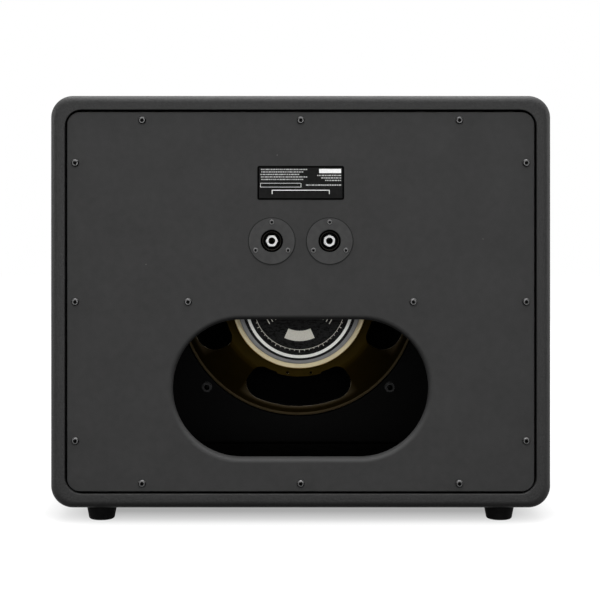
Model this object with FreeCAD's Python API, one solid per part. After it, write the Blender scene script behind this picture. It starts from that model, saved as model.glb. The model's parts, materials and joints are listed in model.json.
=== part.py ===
import FreeCAD, Part
import math
import os

# Open-backed guitar speaker cabinet with one twelve inch driver, two jack sockets and a stadium shaped port.
# Lengths are in millimetres. +Z is up, the grille faces -Y and the back panel faces +Y.
# The origin is on the floor under the middle of the cabinet. Left and right are as seen from the grille side.

# Cabinet shell: plywood boards and corner posts, wrapped in vinyl
cabinet_width = 502.0
cabinet_depth = 265.0
body_height = 414.0
foot_height = 14.0
board_thickness = 13.0
vinyl_thickness = 0.8
corner_radius = 22.0
opening_corner_radius = 17.0
edge_radius = 8.0
lip_radius = 1.5
front_turn_in = 18.0
turn_in_clearance = 1.0
post_straight = 4.0
tongue_thickness = 4.0
tongue_length = 8.0
tongue_end_margin = 14.0
tongue_clearance = 0.15

# Battens glued inside the shell
cleat_size = 20.0
cleat_end_gap = 2.0
cleat_screw_inset = 11.0
brace_height = 28.0

# Back panel with its port
panel_thickness = 12.0
panel_gap = 1.9
panel_recess = 3.0
panel_corner_radius = 13.0
panel_edge_radius = 1.0
port_end_radius = 69.5
port_end_spacing = 119.0
port_edge_radius = 5.0

# Places on the back panel, as shares of its height from its lower edge, and of the screws' own frame
port_height_share = 0.2706
brace_height_share = 0.5
dish_height_share = 0.66037
plate_height_share = 0.8134
screw_column_share = 0.7035
screw_row_share = 0.765
brace_screw_overhang = 53.5

# Baffle and grille
grille_recess = 10.0
cloth_thickness = 1.0
grille_clearance = 0.7
grille_frame_thickness = 12.0
grille_bar_width = 35.0
grille_bar_radius = 10.0
pad_thickness = 3.0
pad_length = 50.0
pad_width = 22.0
pad_place_share = 0.55
baffle_thickness = 15.0
baffle_clearance = 0.3
baffle_screw_shares = (-0.745, -0.25, 0.25, 0.745)

# Wood screws with pan heads
screw_head_radius = 3.8
screw_head_height = 2.4
screw_shank_radius = 1.9
screw_length = 28.0
screw_tip_length = 5.0
screw_head_round = 1.5
recess_length = 4.6
recess_width = 1.1
recess_depth = 1.5
pilot_clearance = 0.1
recess_turn_step = 37.0
recess_well_share = 0.6
recess_well_floor_share = 0.5

# Rating plate
plate_width = 87.0
plate_height = 34.0
plate_thickness = 0.5
plate_corner_radius = 2.0

# Jack dishes
dish_spacing = 58.0
dish_radius = 23.8
dish_flange = 1.4
dish_rim_round = 0.7
dish_cup_radius = 13.2
dish_mouth_radius = 11.3
dish_mouth_depth = 6.0
dish_step_radius = 8.8
dish_step_depth = 4.0
dish_past_panel = 0.3
dish_hole_clearance = 0.4
dish_screw_circle_radius = 18.8
dish_screw_count = 3
dish_screw_head_radius = 2.6
dish_screw_head_height = 1.3
dish_screw_shank_radius = 1.3
dish_screw_length = 11.0
dish_screw_tip = 2.5
dish_screw_round = 0.8
dish_recess_length = 3.2
dish_recess_width = 0.8
dish_recess_depth = 0.9

# Jack sockets for a quarter inch plug
jack_bore_radius = 3.2
bushing_radius = 4.75
bushing_proud = 1.2
nut_thickness = 3.0
nut_flats = 10.9
nut_chamfer = 0.6
jack_sheet = 1.2
jack_plate_width = 16.0
jack_plate_rise = 8.0
jack_plate_drop = 13.0
jack_leg_width = 9.0
jack_leg_length = 23.0
jack_tag_width = 4.0
jack_tag_length = 5.0
jack_tag_hole = 0.9
insulator_width = 8.0
insulator_length = 8.0
insulator_height = 4.0
insulator_standoff = 2.0
contact_sheet = 0.5
contact_width = 5.0
contact_hinge_gap = 0.3
contact_root_run = 3.2
contact_apex_run = 7.2
contact_tail_run = 10.7
contact_apex_drop = 1.8
contact_tail_drop = 4.5
contact_bend = 1.0
lug_overhang = 1.2
lug_reach = 6.0

# Driver frame: a pressed steel basket, set into the baffle from the grille side
driver_below_middle = 5.4
basket_ledge_outer = 136.5
bolt_beyond_ledge = 12.0
bolt_to_flange_edge = 6.0
bolt_count = 4
cutout_beyond_ledge = 2.2
gasket_thickness = 1.0
gasket_width = 11.0
basket_sheet = 1.5
basket_depth = 96.25
basket_hole_radius = 34.0
basket_seat_radius = 89.5
basket_ledge_width = 2.9
basket_ledge_height = 18.75
basket_seat_bend = 7.0
basket_ledge_bend = 1.2
window_count = 4
window_inner_radius = 83.0
window_to_ledge = 8.6
window_half_angle = 33.0
window_outer_round = 22.0
window_inner_round = 11.5
window_outer_round_limit_share = 0.5
window_inner_round_limit_share = 0.3
tab_radius = 84.6
tab_half_angle = 17.0
tab_round = 1.5
tab_hole_radius = 1.5
tab_hole_spacing = 25.4
tab_hole_circle_radius = 81.3

# Driver magnet assembly
front_plate_radius = 62.0
front_plate_thickness = 7.0
magnet_radius = 73.3
magnet_inner_radius = 32.0
magnet_thickness = 19.0
magnet_round = 2.0
back_plate_radius = 67.3
back_plate_thickness = 8.0
back_plate_round = 1.0
label_radius = 62.1
label_thickness = 0.4
label_drop = 1.4
rivet_radius = 1.4
rivet_head_radius = 2.5
rivet_head_height = 1.2
rivet_clearance = 0.1
plate_rivet_circle_radius = 45.0
plate_rivet_count = 4

# Driver moving parts
coil_radius = 22.0
pole_gap = 0.5
former_thickness = 0.4
former_tail = 4.0
former_front = 33.5
winding_thickness = 0.8
winding_height = 12.0
winding_gap = 0.6
cone_thickness = 0.8
cone_glue_gap = 0.1
cone_neck_length = 5.0
cone_neck_back = 9.0
cone_knee_share = 0.381
cone_knee_forward = 32.0
cone_lip_width = 6.0
cone_edge_gap = 9.5
cone_lip_back = 1.3
cone_neck_bend = 4.0
cone_knee_bend = 120.0
cone_lip_bend = 4.0
dust_cap_radius = 34.0
dust_cap_sphere = 50.0
dust_cap_thickness = 0.6
surround_thickness = 0.5
surround_glue_width = 4.5
surround_rim_width = 5.0
surround_beyond_ledge = 1.0
surround_roll_count = 2
surround_roll_front = 1.25
surround_roll_back = 1.35
surround_bend = 0.7
spider_thickness = 0.6
spider_seat_inner = 54.0
spider_seat_outer = 61.0
spider_rise = 6.5
spider_roll_start = 27.0
spider_roll_count = 5
spider_roll_height = 1.2
spider_bend = 0.9

# Driver terminals and wiring
terminal_board_width = 42.0
terminal_board_inner = 74.0
terminal_board_outer = 96.0
terminal_board_thickness = 1.5
tag_width = 6.3
tag_thickness = 0.8
tag_inner = 77.0
tag_outer = 109.0
connector_width = 7.6
connector_thickness = 3.0
connector_length = 11.0
connector_start = 100.0
connector_barrel_radius = 1.8
connector_barrel_length = 8.0
connector_clearance = 0.1
wire_radius = 1.1
tinsel_radius = 0.7
tinsel_gap = 0.4
link_sag = 3.5
link_lead = 5.0
wire_crown = 32.0
bend_share = 0.45
# Shares of the way along each wire's route, chosen by hand to keep clear of the magnet and the battens
positive_route_shares = [(0.0, 0.0, 0.26), (0.28, 0.07, 0.56), (0.5, 0.29, 0.79), (0.72, 0.56, 0.94),
                         (1.0, 0.82, 1.0), (1.0, 0.98, 0.92), (1.0, 1.0, 0.79)]
negative_route_shares = [(0.0, 0.0, 0.24), (0.2, 0.06, 0.5), (0.42, 0.27, 0.74), (0.68, 0.53, 0.91),
                         (1.0, 0.8, 1.0), (1.0, 0.975, 0.93), (1.0, 1.0, 0.8)]
tinsel_route_shares = [(0.0, 0.3, 0.0), (0.0, 0.65, 0.3), (0.0, 0.88, 0.75)]

# Driver bolts and nuts
driver_bolt_radius = 3.0
driver_bolt_clearance = 0.3
driver_bolt_head_radius = 5.5
driver_bolt_head_height = 3.0
driver_bolt_head_round = 1.6
driver_bolt_tip = 1.0
driver_bolt_short = 2.0
driver_nut_flats = 10.0
driver_nut_height = 6.0
driver_nut_flange_radius = 6.0
driver_nut_flange_height = 1.4
driver_nut_clearance = 0.1
driver_recess_length = 6.4
driver_recess_width = 1.4
driver_recess_depth = 1.8

# Feet
foot_inset_x = 49.2
foot_inset_y = 24.0
foot_top_radius = 15.4
foot_bottom_radius = 12.7
foot_round = 2.5
foot_bore_radius = 2.4
foot_counterbore_radius = 6.0
foot_counterbore_depth = 7.0
foot_screw_length = 17.0
foot_screw_shank_radius = 2.0
washer_radius = 5.5
washer_thickness = 1.0

# One overrun serves every cut that goes past a face
overrun = 1.0
tiny = 1e-6
full_turn = 360.0
right_angle = 90.0
hexagon_sides = 6

# Places worked out from the sizes above
half_width = cabinet_width / 2
half_depth = cabinet_depth / 2
body_middle = foot_height + body_height / 2
finished_wall = board_thickness + 2 * vinyl_thickness
opening_width = cabinet_width - 2 * finished_wall
opening_height = body_height - 2 * finished_wall
inner_width = opening_width + 2 * vinyl_thickness
inner_height = opening_height + 2 * vinyl_thickness
inner_corner_radius = opening_corner_radius + vinyl_thickness
panel_width = opening_width - 2 * panel_gap
panel_height = opening_height - 2 * panel_gap
panel_bottom = body_middle - panel_height / 2
port_middle = panel_bottom + port_height_share * panel_height
brace_middle = panel_bottom + brace_height_share * panel_height
plate_middle = panel_bottom + plate_height_share * panel_height
panel_rear = half_depth - panel_recess
panel_front = panel_rear - panel_thickness
rear_turn_in = panel_recess + panel_thickness - turn_in_clearance
cloth_front = -half_depth + grille_recess
frame_front = cloth_front + cloth_thickness
frame_rear = frame_front + grille_frame_thickness
baffle_front = frame_rear + pad_thickness
baffle_rear = baffle_front + baffle_thickness
driver_z = body_middle - driver_below_middle
bolt_circle_radius = basket_ledge_outer + bolt_beyond_ledge
driver_flange_radius = bolt_circle_radius + bolt_to_flange_edge
driver_cutout_radius = basket_ledge_outer + cutout_beyond_ledge
basket_ledge_inner = basket_ledge_outer - basket_ledge_width
window_outer_radius = basket_ledge_inner - window_to_ledge
cone_lip_outer = basket_ledge_outer - cone_edge_gap
cone_lip_inner = cone_lip_outer - cone_lip_width
surround_rim_inner = basket_ledge_outer + surround_beyond_ledge
surround_rim_outer = surround_rim_inner + surround_rim_width
flange_rear = baffle_front - gasket_thickness
flange_front = flange_rear - basket_sheet
seat_rear = flange_front + basket_depth + basket_sheet / 2
seat_front = seat_rear - basket_sheet
front_plate_rear = seat_rear + front_plate_thickness
magnet_rear = front_plate_rear + magnet_thickness
back_plate_rear = magnet_rear + back_plate_thickness
former_outer = coil_radius + former_thickness
winding_outer = former_outer + winding_thickness
cone_knee_radius = former_outer + cone_knee_share * (cone_lip_inner - former_outer)
dish_x = dish_spacing / 2
dish_z = panel_bottom + dish_height_share * panel_height
dish_floor_y = panel_rear + dish_flange - dish_mouth_depth - dish_step_depth
dish_back = panel_front - dish_past_panel


def vec(x, y, z):
    return FreeCAD.Vector(x, y, z)


X_AXIS = vec(1, 0, 0)
Y_AXIS = vec(0, 1, 0)
Z_AXIS = vec(0, 0, 1)
ORIGIN = vec(0, 0, 0)


# Shapes that every piece is made of

def slab(x_range, y_range, z_range):
    """A box between two limits along each axis."""
    low = vec(x_range[0], y_range[0], z_range[0])
    size = [high - start for start, high in (x_range, y_range, z_range)]
    return Part.makeBox(size[0], size[1], size[2], low)


def between(middle, size):
    return middle - size / 2, middle + size / 2


def cylinder_y(radius, y_range, x, z):
    return Part.makeCylinder(radius, y_range[1] - y_range[0], vec(x, y_range[0], z), Y_AXIS)


def rounded_edges(points, radii, closed):
    """Lines through the points, with a tangent arc of the given radius at each corner."""
    count = len(points)
    corners = []
    for index, point in enumerate(points):
        is_end = not closed and index in (0, count - 1)
        if is_end or radii[index] <= tiny:
            corners.append((point, None, point))
            continue
        into = (points[index - 1] - point).normalize()
        out = (points[(index + 1) % count] - point).normalize()
        half_angle = into.getAngle(out) / 2
        reach = radii[index] / math.tan(half_angle)
        bisector = (into + out).normalize()
        crown = point + bisector * (radii[index] / math.sin(half_angle) - radii[index])
        corners.append((point + into * reach, crown, point + out * reach))
    edges = []
    for index in range(count):
        start, crown, end = corners[index]
        if crown is not None:
            edges.append(Part.Arc(start, crown, end).toShape())
        if index == count - 1 and not closed:
            break
        following = corners[(index + 1) % count][0]
        if end.distanceToPoint(following) > tiny:
            edges.append(Part.LineSegment(end, following).toShape())
    return edges


def rounded_prism(width, height, radius, y_range, z_middle):
    """A rectangle with round corners in the XZ plane, drawn out along Y."""
    x_low, x_high = between(0, width)
    z_low, z_high = between(z_middle, height)
    y_low = y_range[0]
    corners = [vec(x_low, y_low, z_low), vec(x_high, y_low, z_low),
               vec(x_high, y_low, z_high), vec(x_low, y_low, z_high)]
    wire = Part.Wire(rounded_edges(corners, [radius] * len(corners), True))
    return Part.Face(wire).extrude(vec(0, y_range[1] - y_low, 0))


def end_edges(shape, y, half_x, half_z, z_middle):
    """The edges of a shape that lie in the plane at y, within half_x and half_z of the middle."""
    found = []
    for edge in shape.Edges:
        box = edge.BoundBox
        in_plane = abs(box.YMin - y) < tiny and abs(box.YMax - y) < tiny
        in_x = max(abs(box.XMin), abs(box.XMax)) < half_x + tiny
        in_z = max(abs(box.ZMin - z_middle), abs(box.ZMax - z_middle)) < half_z + tiny
        if in_plane and in_x and in_z:
            found.append(edge)
    return found


def turned(profile, x=0, z=0):
    """A profile of (radius, y, corner radius) points turned about an axis along Y."""
    points = [vec(x + radius, y, z) for radius, y, _ in profile]
    edges = rounded_edges(points, [bend for _, _, bend in profile], True)
    return Part.Face(Part.Wire(edges)).revolve(vec(x, 0, z), Y_AXIS, full_turn)


def sheet_profile(path, thickness):
    """The outline of a sheet of even thickness, from its middle line of (radius, y, bend radius) points."""
    half = thickness / 2
    points = [vec(radius, y, 0) for radius, y, _ in path]
    sides = {1: [], -1: []}
    for index, point in enumerate(points):
        before = point - points[index - 1] if index else points[1] - point
        after = points[index + 1] - point if index < len(points) - 1 else before
        before = before.normalize()
        after = after.normalize()
        normal_before = vec(-before.y, before.x, 0)
        normal_after = vec(-after.y, after.x, 0)
        offset = (normal_before + normal_after) / (1 + normal_before.dot(normal_after))
        turns_left = before.cross(after).z > 0
        for side in sides:
            moved = point + offset * (side * half)
            bend = path[index][2]
            inside = turns_left == (side > 0)
            radius = 0 if bend == 0 else bend - half if inside else bend + half
            sides[side].append((moved.x, moved.y, radius))
    return sides[1] + sides[-1][::-1]


def bent_path(points):
    """A route of straight runs and tangent arcs, each arc as large as its two runs allow, and its radii."""
    radii = [0] * len(points)
    for index in range(1, len(points) - 1):
        into = points[index - 1] - points[index]
        out = points[index + 1] - points[index]
        half_turn = (math.pi - into.getAngle(out)) / 2
        radii[index] = bend_share * min(into.Length, out.Length) / math.tan(half_turn)
    return Part.Wire(rounded_edges(points, radii, False)), radii[1:-1]


def tube(points, radius, name):
    """A round wire along a route. Prints its bends, and its volume against section times length."""
    path, radii = bent_path(points)
    circle = Part.Circle(points[0], points[1] - points[0], radius).toShape()
    solid = path.makePipeShell([Part.Wire(circle)], True, False)
    expected = math.pi * radius ** 2 * path.Length
    bends = ", ".join(f"{bend:.1f}" for bend in radii)
    print(f"{name}: length {path.Length:.1f}, bend radii {bends}, volume ratio {solid.Volume / expected:.4f}")
    return solid


def pan_screw(head_radius, head_height, head_round, shank_radius, length, tip, recess, turn):
    """A screw along Y: its cross-recessed head stands on the plane y = 0 and its shank points to -Y."""
    profile = [(0, head_height, 0), (head_radius, head_height, head_round), (head_radius, 0, 0),
               (shank_radius, 0, 0), (shank_radius, tip - length, 0), (0, -length, 0)]
    screw = turned(profile)
    recess_long, recess_wide, recess_deep = recess
    for size_x, size_z in ((recess_long, recess_wide), (recess_wide, recess_long)):
        depth = (head_height - recess_deep, head_height + overrun)
        slot = slab(between(0, size_x), depth, between(0, size_z))
        slot.rotate(ORIGIN, Y_AXIS, turn)
        screw = screw.cut(slot)
    well = recess_well_share * recess_long / 2
    hollow = turned([(0, head_height - recess_deep, 0),
                     (recess_well_floor_share * well, head_height - recess_deep, 0),
                     (well, head_height, 0), (well, head_height + overrun, 0), (0, head_height + overrun, 0)])
    return screw.cut(hollow)


def wood_screw(turn):
    return pan_screw(screw_head_radius, screw_head_height, screw_head_round, screw_shank_radius, screw_length,
                     screw_tip_length, (recess_length, recess_width, recess_depth), turn)


def hexagon_nut(flats, height, bore, chamfer, turn):
    """A nut along Y that stands on the plane y = 0, with a corner up at no turn."""
    corner = flats / 2 / math.cos(math.pi / hexagon_sides)
    ring = circle_points(hexagon_sides, corner, turn + right_angle)
    points = [vec(x, 0, z) for x, z in ring]
    hexagon = Part.Face(Part.makePolygon(points + points[:1])).extrude(vec(0, height, 0))
    limit = turned([(0, 0, 0), (corner - chamfer, 0, 0), (corner, chamfer, 0),
                    (corner, height - chamfer, 0), (corner - chamfer, height, 0), (0, height, 0)])
    return hexagon.common(limit).cut(cylinder_y(bore, (-overrun, height + overrun), 0, 0))


def moved(shape, x, y, z):
    copy = shape.copy()
    copy.translate(vec(x, y, z))
    return copy


def turned_about(shape, axis, angle):
    copy = shape.copy()
    copy.rotate(ORIGIN, axis, angle)
    return copy


def cut_all(shape, tools):
    return shape.cut(Part.makeCompound(tools)) if tools else shape


def circle_points(count, radius, first_angle):
    """(x, z) offsets spaced evenly on a circle."""
    angles = [math.radians(first_angle + index * full_turn / count) for index in range(count)]
    return [(radius * math.cos(angle), radius * math.sin(angle)) for angle in angles]


# Places of the fasteners

panel_screw_x = inner_width / 2 - cleat_screw_inset
panel_screw_z = inner_height / 2 - cleat_screw_inset
panel_screw_places = [(share * panel_screw_x, body_middle + z) for z in (panel_screw_z, -panel_screw_z)
                      for share in (-screw_column_share, 0, screw_column_share)]
panel_screw_places += [(x, body_middle + share * panel_screw_z) for x in (panel_screw_x, -panel_screw_x)
                       for share in (-screw_row_share, 0, screw_row_share)]
brace_screw_places = [(x, brace_middle) for x in between(0, port_end_spacing + 2 * brace_screw_overhang)]
baffle_screw_places = [(share * panel_screw_x, body_middle + z) for z in (panel_screw_z, -panel_screw_z)
                       for share in baffle_screw_shares]
baffle_screw_places += [(x, body_middle) for x in (panel_screw_x, -panel_screw_x)]
driver_bolt_places = [(x, driver_z + z)
                      for x, z in circle_points(bolt_count, bolt_circle_radius, right_angle / 2)]
foot_places = {side_y + "_" + side_x + "_foot": (x, y)
               for side_y, y in zip(("front", "rear"), between(0, cabinet_depth - 2 * foot_inset_y))
               for side_x, x in zip(("left", "right"), between(0, cabinet_width - 2 * foot_inset_x))}
jack_sides = {"left": -dish_x, "right": dish_x}


def pilot_holes(places, y_range, radius):
    return [cylinder_y(radius + pilot_clearance, y_range, x, z) for x, z in places]


def foot_screw_holes():
    """Upright holes through the vinyl and into the bottom board."""
    screw_top = foot_counterbore_depth - washer_thickness + foot_screw_length
    return [Part.makeCylinder(foot_screw_shank_radius + pilot_clearance, screw_top, vec(x, y, 0), Z_AXIS)
            for x, y in foot_places.values()]


# Cabinet shell

def shell_block(skin, hole_depths):
    """The shell's outer block under a skin of the given thickness, hollowed over the given depths."""
    y_low, y_high = -half_depth + skin, half_depth - skin
    outer_round = min(edge_radius, corner_radius) - skin
    block = rounded_prism(cabinet_width - 2 * skin, body_height - 2 * skin, corner_radius - skin,
                          (y_low, y_high), body_middle)
    for y in (y_low, y_high):
        block = block.makeFillet(outer_round, end_edges(block, y, half_width, body_height / 2, body_middle))
    wall = finished_wall - 2 * skin
    hole_width = cabinet_width - 2 * skin - 2 * wall
    hole_height = body_height - 2 * skin - 2 * wall
    hole_corner = opening_corner_radius + skin
    for y_range in hole_depths(y_low, y_high):
        block = block.cut(rounded_prism(hole_width, hole_height, hole_corner, y_range, body_middle))
    for y in (y_low, y_high):
        rim = end_edges(block, y, hole_width / 2, hole_height / 2, body_middle)
        block = block.makeFillet(lip_radius - skin, rim)
    return block


def through_hole(y_low, y_high):
    return [(y_low - overrun, y_high + overrun)]


def turn_in_holes(y_low, y_high):
    return [(y_low - overrun, -half_depth + front_turn_in), (half_depth - rear_turn_in, y_high + overrun)]


def vinyl_covering():
    """Vinyl glued over the outside and turned in over the front and rear edges."""
    skin = shell_block(0, through_hole).cut(shell_block(vinyl_thickness, turn_in_holes))
    return cut_all(skin, foot_screw_holes())


def carcase():
    """Four boards with tongues on their ends, in grooves of four corner posts."""
    ring = shell_block(vinyl_thickness, through_hole)
    post_leg = max(corner_radius - vinyl_thickness, inner_corner_radius + board_thickness) + post_straight
    post_x = half_width - vinyl_thickness - post_leg
    post_z = body_height / 2 - vinyl_thickness - post_leg
    board_middle_x = inner_width / 2 + board_thickness / 2
    board_middle_z = inner_height / 2 + board_thickness / 2
    y_range = (-half_depth, half_depth)
    tongue_y = (-half_depth + tongue_end_margin, half_depth - tongue_end_margin)

    def tongue(x_end, z_end, along_x, grow):
        """A tongue that starts inside its board and ends in the post."""
        sign_x, sign_z = math.copysign(1, x_end), math.copysign(1, z_end)
        thick = between(0, tongue_thickness + 2 * grow)
        y_limits = (tongue_y[0] - grow, tongue_y[1] + grow)
        if along_x:
            x_limits = sorted((sign_x * (post_x - tongue_length), sign_x * (post_x + tongue_length + grow)))
            return slab(x_limits, y_limits, [body_middle + sign_z * board_middle_z + part for part in thick])
        along = (-tongue_length, tongue_length + grow)
        z_limits = sorted(body_middle + sign_z * (post_z + part) for part in along)
        return slab([sign_x * board_middle_x + part for part in thick], y_limits, z_limits)

    pieces = {}
    for name, sign in (("top_board", 1), ("bottom_board", -1)):
        z_limits = sorted((body_middle, body_middle + sign * body_height))
        board = ring.common(slab((-post_x, post_x), y_range, z_limits))
        for end in (-1, 1):
            board = board.fuse(tongue(end * board_middle_x, sign * board_middle_z, True, 0))
        pieces[name] = board.removeSplitter()
    for name, sign in (("right_side_board", 1), ("left_side_board", -1)):
        x_limits = sorted((0, sign * cabinet_width))
        board = ring.common(slab(x_limits, y_range, (body_middle - post_z, body_middle + post_z)))
        for end in (-1, 1):
            board = board.fuse(tongue(sign * board_middle_x, end * board_middle_z, False, 0))
        pieces[name] = board.removeSplitter()
    for name_z, sign_z in (("top", 1), ("bottom", -1)):
        for name_x, sign_x in (("left", -1), ("right", 1)):
            x_limits = sorted((sign_x * post_x, sign_x * cabinet_width))
            z_limits = sorted((body_middle + sign_z * post_z, body_middle + sign_z * body_height))
            post = ring.common(slab(x_limits, y_range, z_limits))
            corner = (sign_x * board_middle_x, sign_z * board_middle_z)
            for along_x in (True, False):
                post = post.cut(tongue(*corner, along_x, tongue_clearance))
            pieces["corner_post_" + name_z + "_" + name_x] = post
    pieces["bottom_board"] = cut_all(pieces["bottom_board"], foot_screw_holes())
    return pieces


def cleat_frame(y_range):
    """Four battens round the inside of the shell: top, bottom, left and right."""
    half_x, half_z = inner_width / 2, inner_height / 2
    long_x = half_x - inner_corner_radius - cleat_end_gap
    long_z = half_z - cleat_size - cleat_end_gap
    level = [slab((-long_x, long_x), y_range, sorted((body_middle + sign * (half_z - cleat_size),
                                                      body_middle + sign * half_z))) for sign in (1, -1)]
    upright = [slab(sorted((sign * (half_x - cleat_size), sign * half_x)), y_range,
                    between(body_middle, 2 * long_z)) for sign in (-1, 1)]
    return level + upright


def rear_cleats():
    y_range = (panel_front - cleat_size, panel_front)
    screw_depth = (panel_rear - screw_length - overrun, panel_rear)
    holes = pilot_holes(panel_screw_places, screw_depth, screw_shank_radius)
    return [cut_all(cleat, holes) for cleat in cleat_frame(y_range)]


def front_cleats():
    y_range = (baffle_rear, baffle_rear + cleat_size)
    holes = pilot_holes(baffle_screw_places, (baffle_front, baffle_front + screw_length + overrun),
                        screw_shank_radius)
    return [cut_all(cleat, holes) for cleat in cleat_frame(y_range)]


def rear_brace():
    """A level batten behind the back panel, just above its port, between the side battens."""
    brace = slab(between(0, inner_width - 2 * cleat_size), (panel_front - cleat_size, panel_front),
                 between(brace_middle, brace_height))
    screw_depth = (panel_rear - screw_length - overrun, panel_rear)
    return cut_all(brace, pilot_holes(brace_screw_places, screw_depth, screw_shank_radius))


# Back panel

def rear_panel():
    panel = rounded_prism(panel_width, panel_height, panel_corner_radius, (panel_front, panel_rear),
                          body_middle)
    outer_rim = end_edges(panel, panel_rear, panel_width / 2, panel_height / 2, body_middle)
    panel = panel.makeFillet(panel_edge_radius, outer_rim)
    port_width = port_end_spacing + 2 * port_end_radius
    through = (panel_front - overrun, panel_rear + overrun)
    ends = [cylinder_y(port_end_radius, through, x, port_middle) for x in between(0, port_end_spacing)]
    middle = slab(between(0, port_end_spacing), through, between(port_middle, 2 * port_end_radius))
    panel = panel.cut(ends[0].fuse(ends + [middle]).removeSplitter())
    port_rim = end_edges(panel, panel_rear, port_width / 2, port_end_radius, port_middle)
    panel = panel.makeFillet(port_edge_radius, port_rim)
    holes = pilot_holes(panel_screw_places + brace_screw_places, through, screw_shank_radius)
    dish_hole = dish_cup_radius + dish_hole_clearance
    holes += [cylinder_y(dish_hole, through, x, dish_z) for x in jack_sides.values()]
    dish_screw_depth = (panel_rear + dish_flange - dish_screw_length - overrun, panel_rear + overrun)
    holes += pilot_holes(dish_screw_places(), dish_screw_depth, dish_screw_shank_radius)
    return cut_all(panel, holes)


def rear_panel_screws():
    places = panel_screw_places + brace_screw_places
    return [moved(wood_screw(index * recess_turn_step), x, panel_rear, z)
            for index, (x, z) in enumerate(places)]


def rating_plate():
    return rounded_prism(plate_width, plate_height, plate_corner_radius,
                         (panel_rear, panel_rear + plate_thickness), plate_middle)


# Jack dishes and sockets

def dish_screw_places():
    return [(dish + x, dish_z + z) for dish in jack_sides.values()
            for x, z in circle_points(dish_screw_count, dish_screw_circle_radius, right_angle)]


def jack_dish(x):
    """A round flange on the back panel, with a stepped cup that holds the socket below the surface."""
    face = panel_rear + dish_flange
    step = face - dish_mouth_depth
    hole = bushing_radius + pilot_clearance
    dish = turned([(hole, dish_back, 0), (dish_cup_radius, dish_back, 0), (dish_cup_radius, panel_rear, 0),
                   (dish_radius, panel_rear, 0), (dish_radius, face, dish_rim_round),
                   (dish_mouth_radius, face, dish_rim_round), (dish_mouth_radius, step, 0),
                   (dish_step_radius, step, dish_rim_round), (dish_step_radius, dish_floor_y, 0),
                   (hole, dish_floor_y, 0)], x, dish_z)
    return cut_all(dish, pilot_holes(dish_screw_places(), (panel_rear - overrun, face + overrun),
                                     dish_screw_shank_radius))


def jack_dish_screws():
    recess = (dish_recess_length, dish_recess_width, dish_recess_depth)
    return [moved(pan_screw(dish_screw_head_radius, dish_screw_head_height, dish_screw_round,
                            dish_screw_shank_radius, dish_screw_length, dish_screw_tip, recess,
                            index * recess_turn_step), x, panel_rear + dish_flange, z)
            for index, (x, z) in enumerate(dish_screw_places())]


plate_front = dish_back - jack_sheet
leg_bottom = dish_z - jack_plate_drop
leg_top = leg_bottom + jack_sheet
leg_end = plate_front - jack_leg_length
tag_end = leg_end - jack_tag_length
insulator_y = (plate_front - insulator_standoff - insulator_length, plate_front - insulator_standoff)
insulator_top = leg_top + insulator_height
lug_top = insulator_top + contact_sheet
lug_end_y = insulator_y[0] - lug_overhang
hinge_y = lug_end_y - contact_hinge_gap
hinge_z = insulator_top + contact_sheet / 2


def jack_frame(x):
    """The socket's metal frame: a bushing, a plate behind the dish, and a leg that ends in a solder tag."""
    bushing_end = dish_floor_y + nut_thickness + bushing_proud
    frame = cylinder_y(bushing_radius, (dish_back, bushing_end), x, dish_z)
    frame = frame.fuse([slab(between(x, jack_plate_width), (plate_front, dish_back),
                             (leg_bottom, dish_z + jack_plate_rise)),
                        slab(between(x, jack_leg_width), (leg_end, plate_front), (leg_bottom, leg_top)),
                        slab(between(x, jack_tag_width), (tag_end, leg_end), (leg_bottom, leg_top))])
    frame = frame.removeSplitter()
    frame = frame.cut(cylinder_y(jack_bore_radius, (plate_front - overrun, bushing_end + overrun), x, dish_z))
    tag_hole = Part.makeCylinder(jack_tag_hole, jack_sheet + 2 * overrun,
                                 vec(x, leg_end - jack_tag_length / 2, leg_bottom - overrun), Z_AXIS)
    return frame.cut(tag_hole)


def jack_insulator(x):
    return slab(between(x, insulator_width), insulator_y, (leg_top, insulator_top))


def jack_tip_lug(x):
    """A flat strip on the insulator, with a solder lug towards the middle of the cabinet."""
    strip = slab(between(x, contact_width), (lug_end_y, insulator_y[1]), (insulator_top, lug_top))
    towards = -math.copysign(1, x)
    lug_x = sorted((x, x + towards * (insulator_width / 2 + lug_reach)))
    lug = slab(lug_x, between(sum(insulator_y) / 2, contact_width), (insulator_top, lug_top))
    return strip.fuse(lug).removeSplitter()


def jack_tip_spring(x):
    """The springy tip contact: a bent strip whose crown stands in the plug's way."""
    route = [(hinge_y, hinge_z, 0), (hinge_y - contact_root_run, hinge_z, contact_bend),
             (hinge_y - contact_apex_run, dish_z - contact_apex_drop, contact_bend),
             (hinge_y - contact_tail_run, dish_z - contact_tail_drop, 0)]
    outline = sheet_profile(route, contact_sheet)
    low = x - contact_width / 2
    points = [vec(low, y, z) for y, z, _ in outline]
    wire = Part.Wire(rounded_edges(points, [bend for _, _, bend in outline], True))
    return Part.Face(wire).extrude(vec(contact_width, 0, 0))


def jack_nut(x, turn):
    nut = hexagon_nut(nut_flats, nut_thickness, bushing_radius + pilot_clearance, nut_chamfer, turn)
    return moved(nut, x, dish_floor_y, dish_z)


# Baffle and grille

def baffle_board():
    baffle = rounded_prism(inner_width - 2 * baffle_clearance, inner_height - 2 * baffle_clearance,
                           inner_corner_radius, (baffle_front, baffle_rear), body_middle)
    through = (baffle_front - overrun, baffle_rear + overrun)
    holes = [cylinder_y(driver_cutout_radius, through, 0, driver_z)]
    bolt_hole = driver_bolt_radius + driver_bolt_clearance
    holes += [cylinder_y(bolt_hole, through, x, z) for x, z in driver_bolt_places]
    holes += pilot_holes(baffle_screw_places, through, screw_shank_radius)
    return cut_all(baffle, holes)


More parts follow.
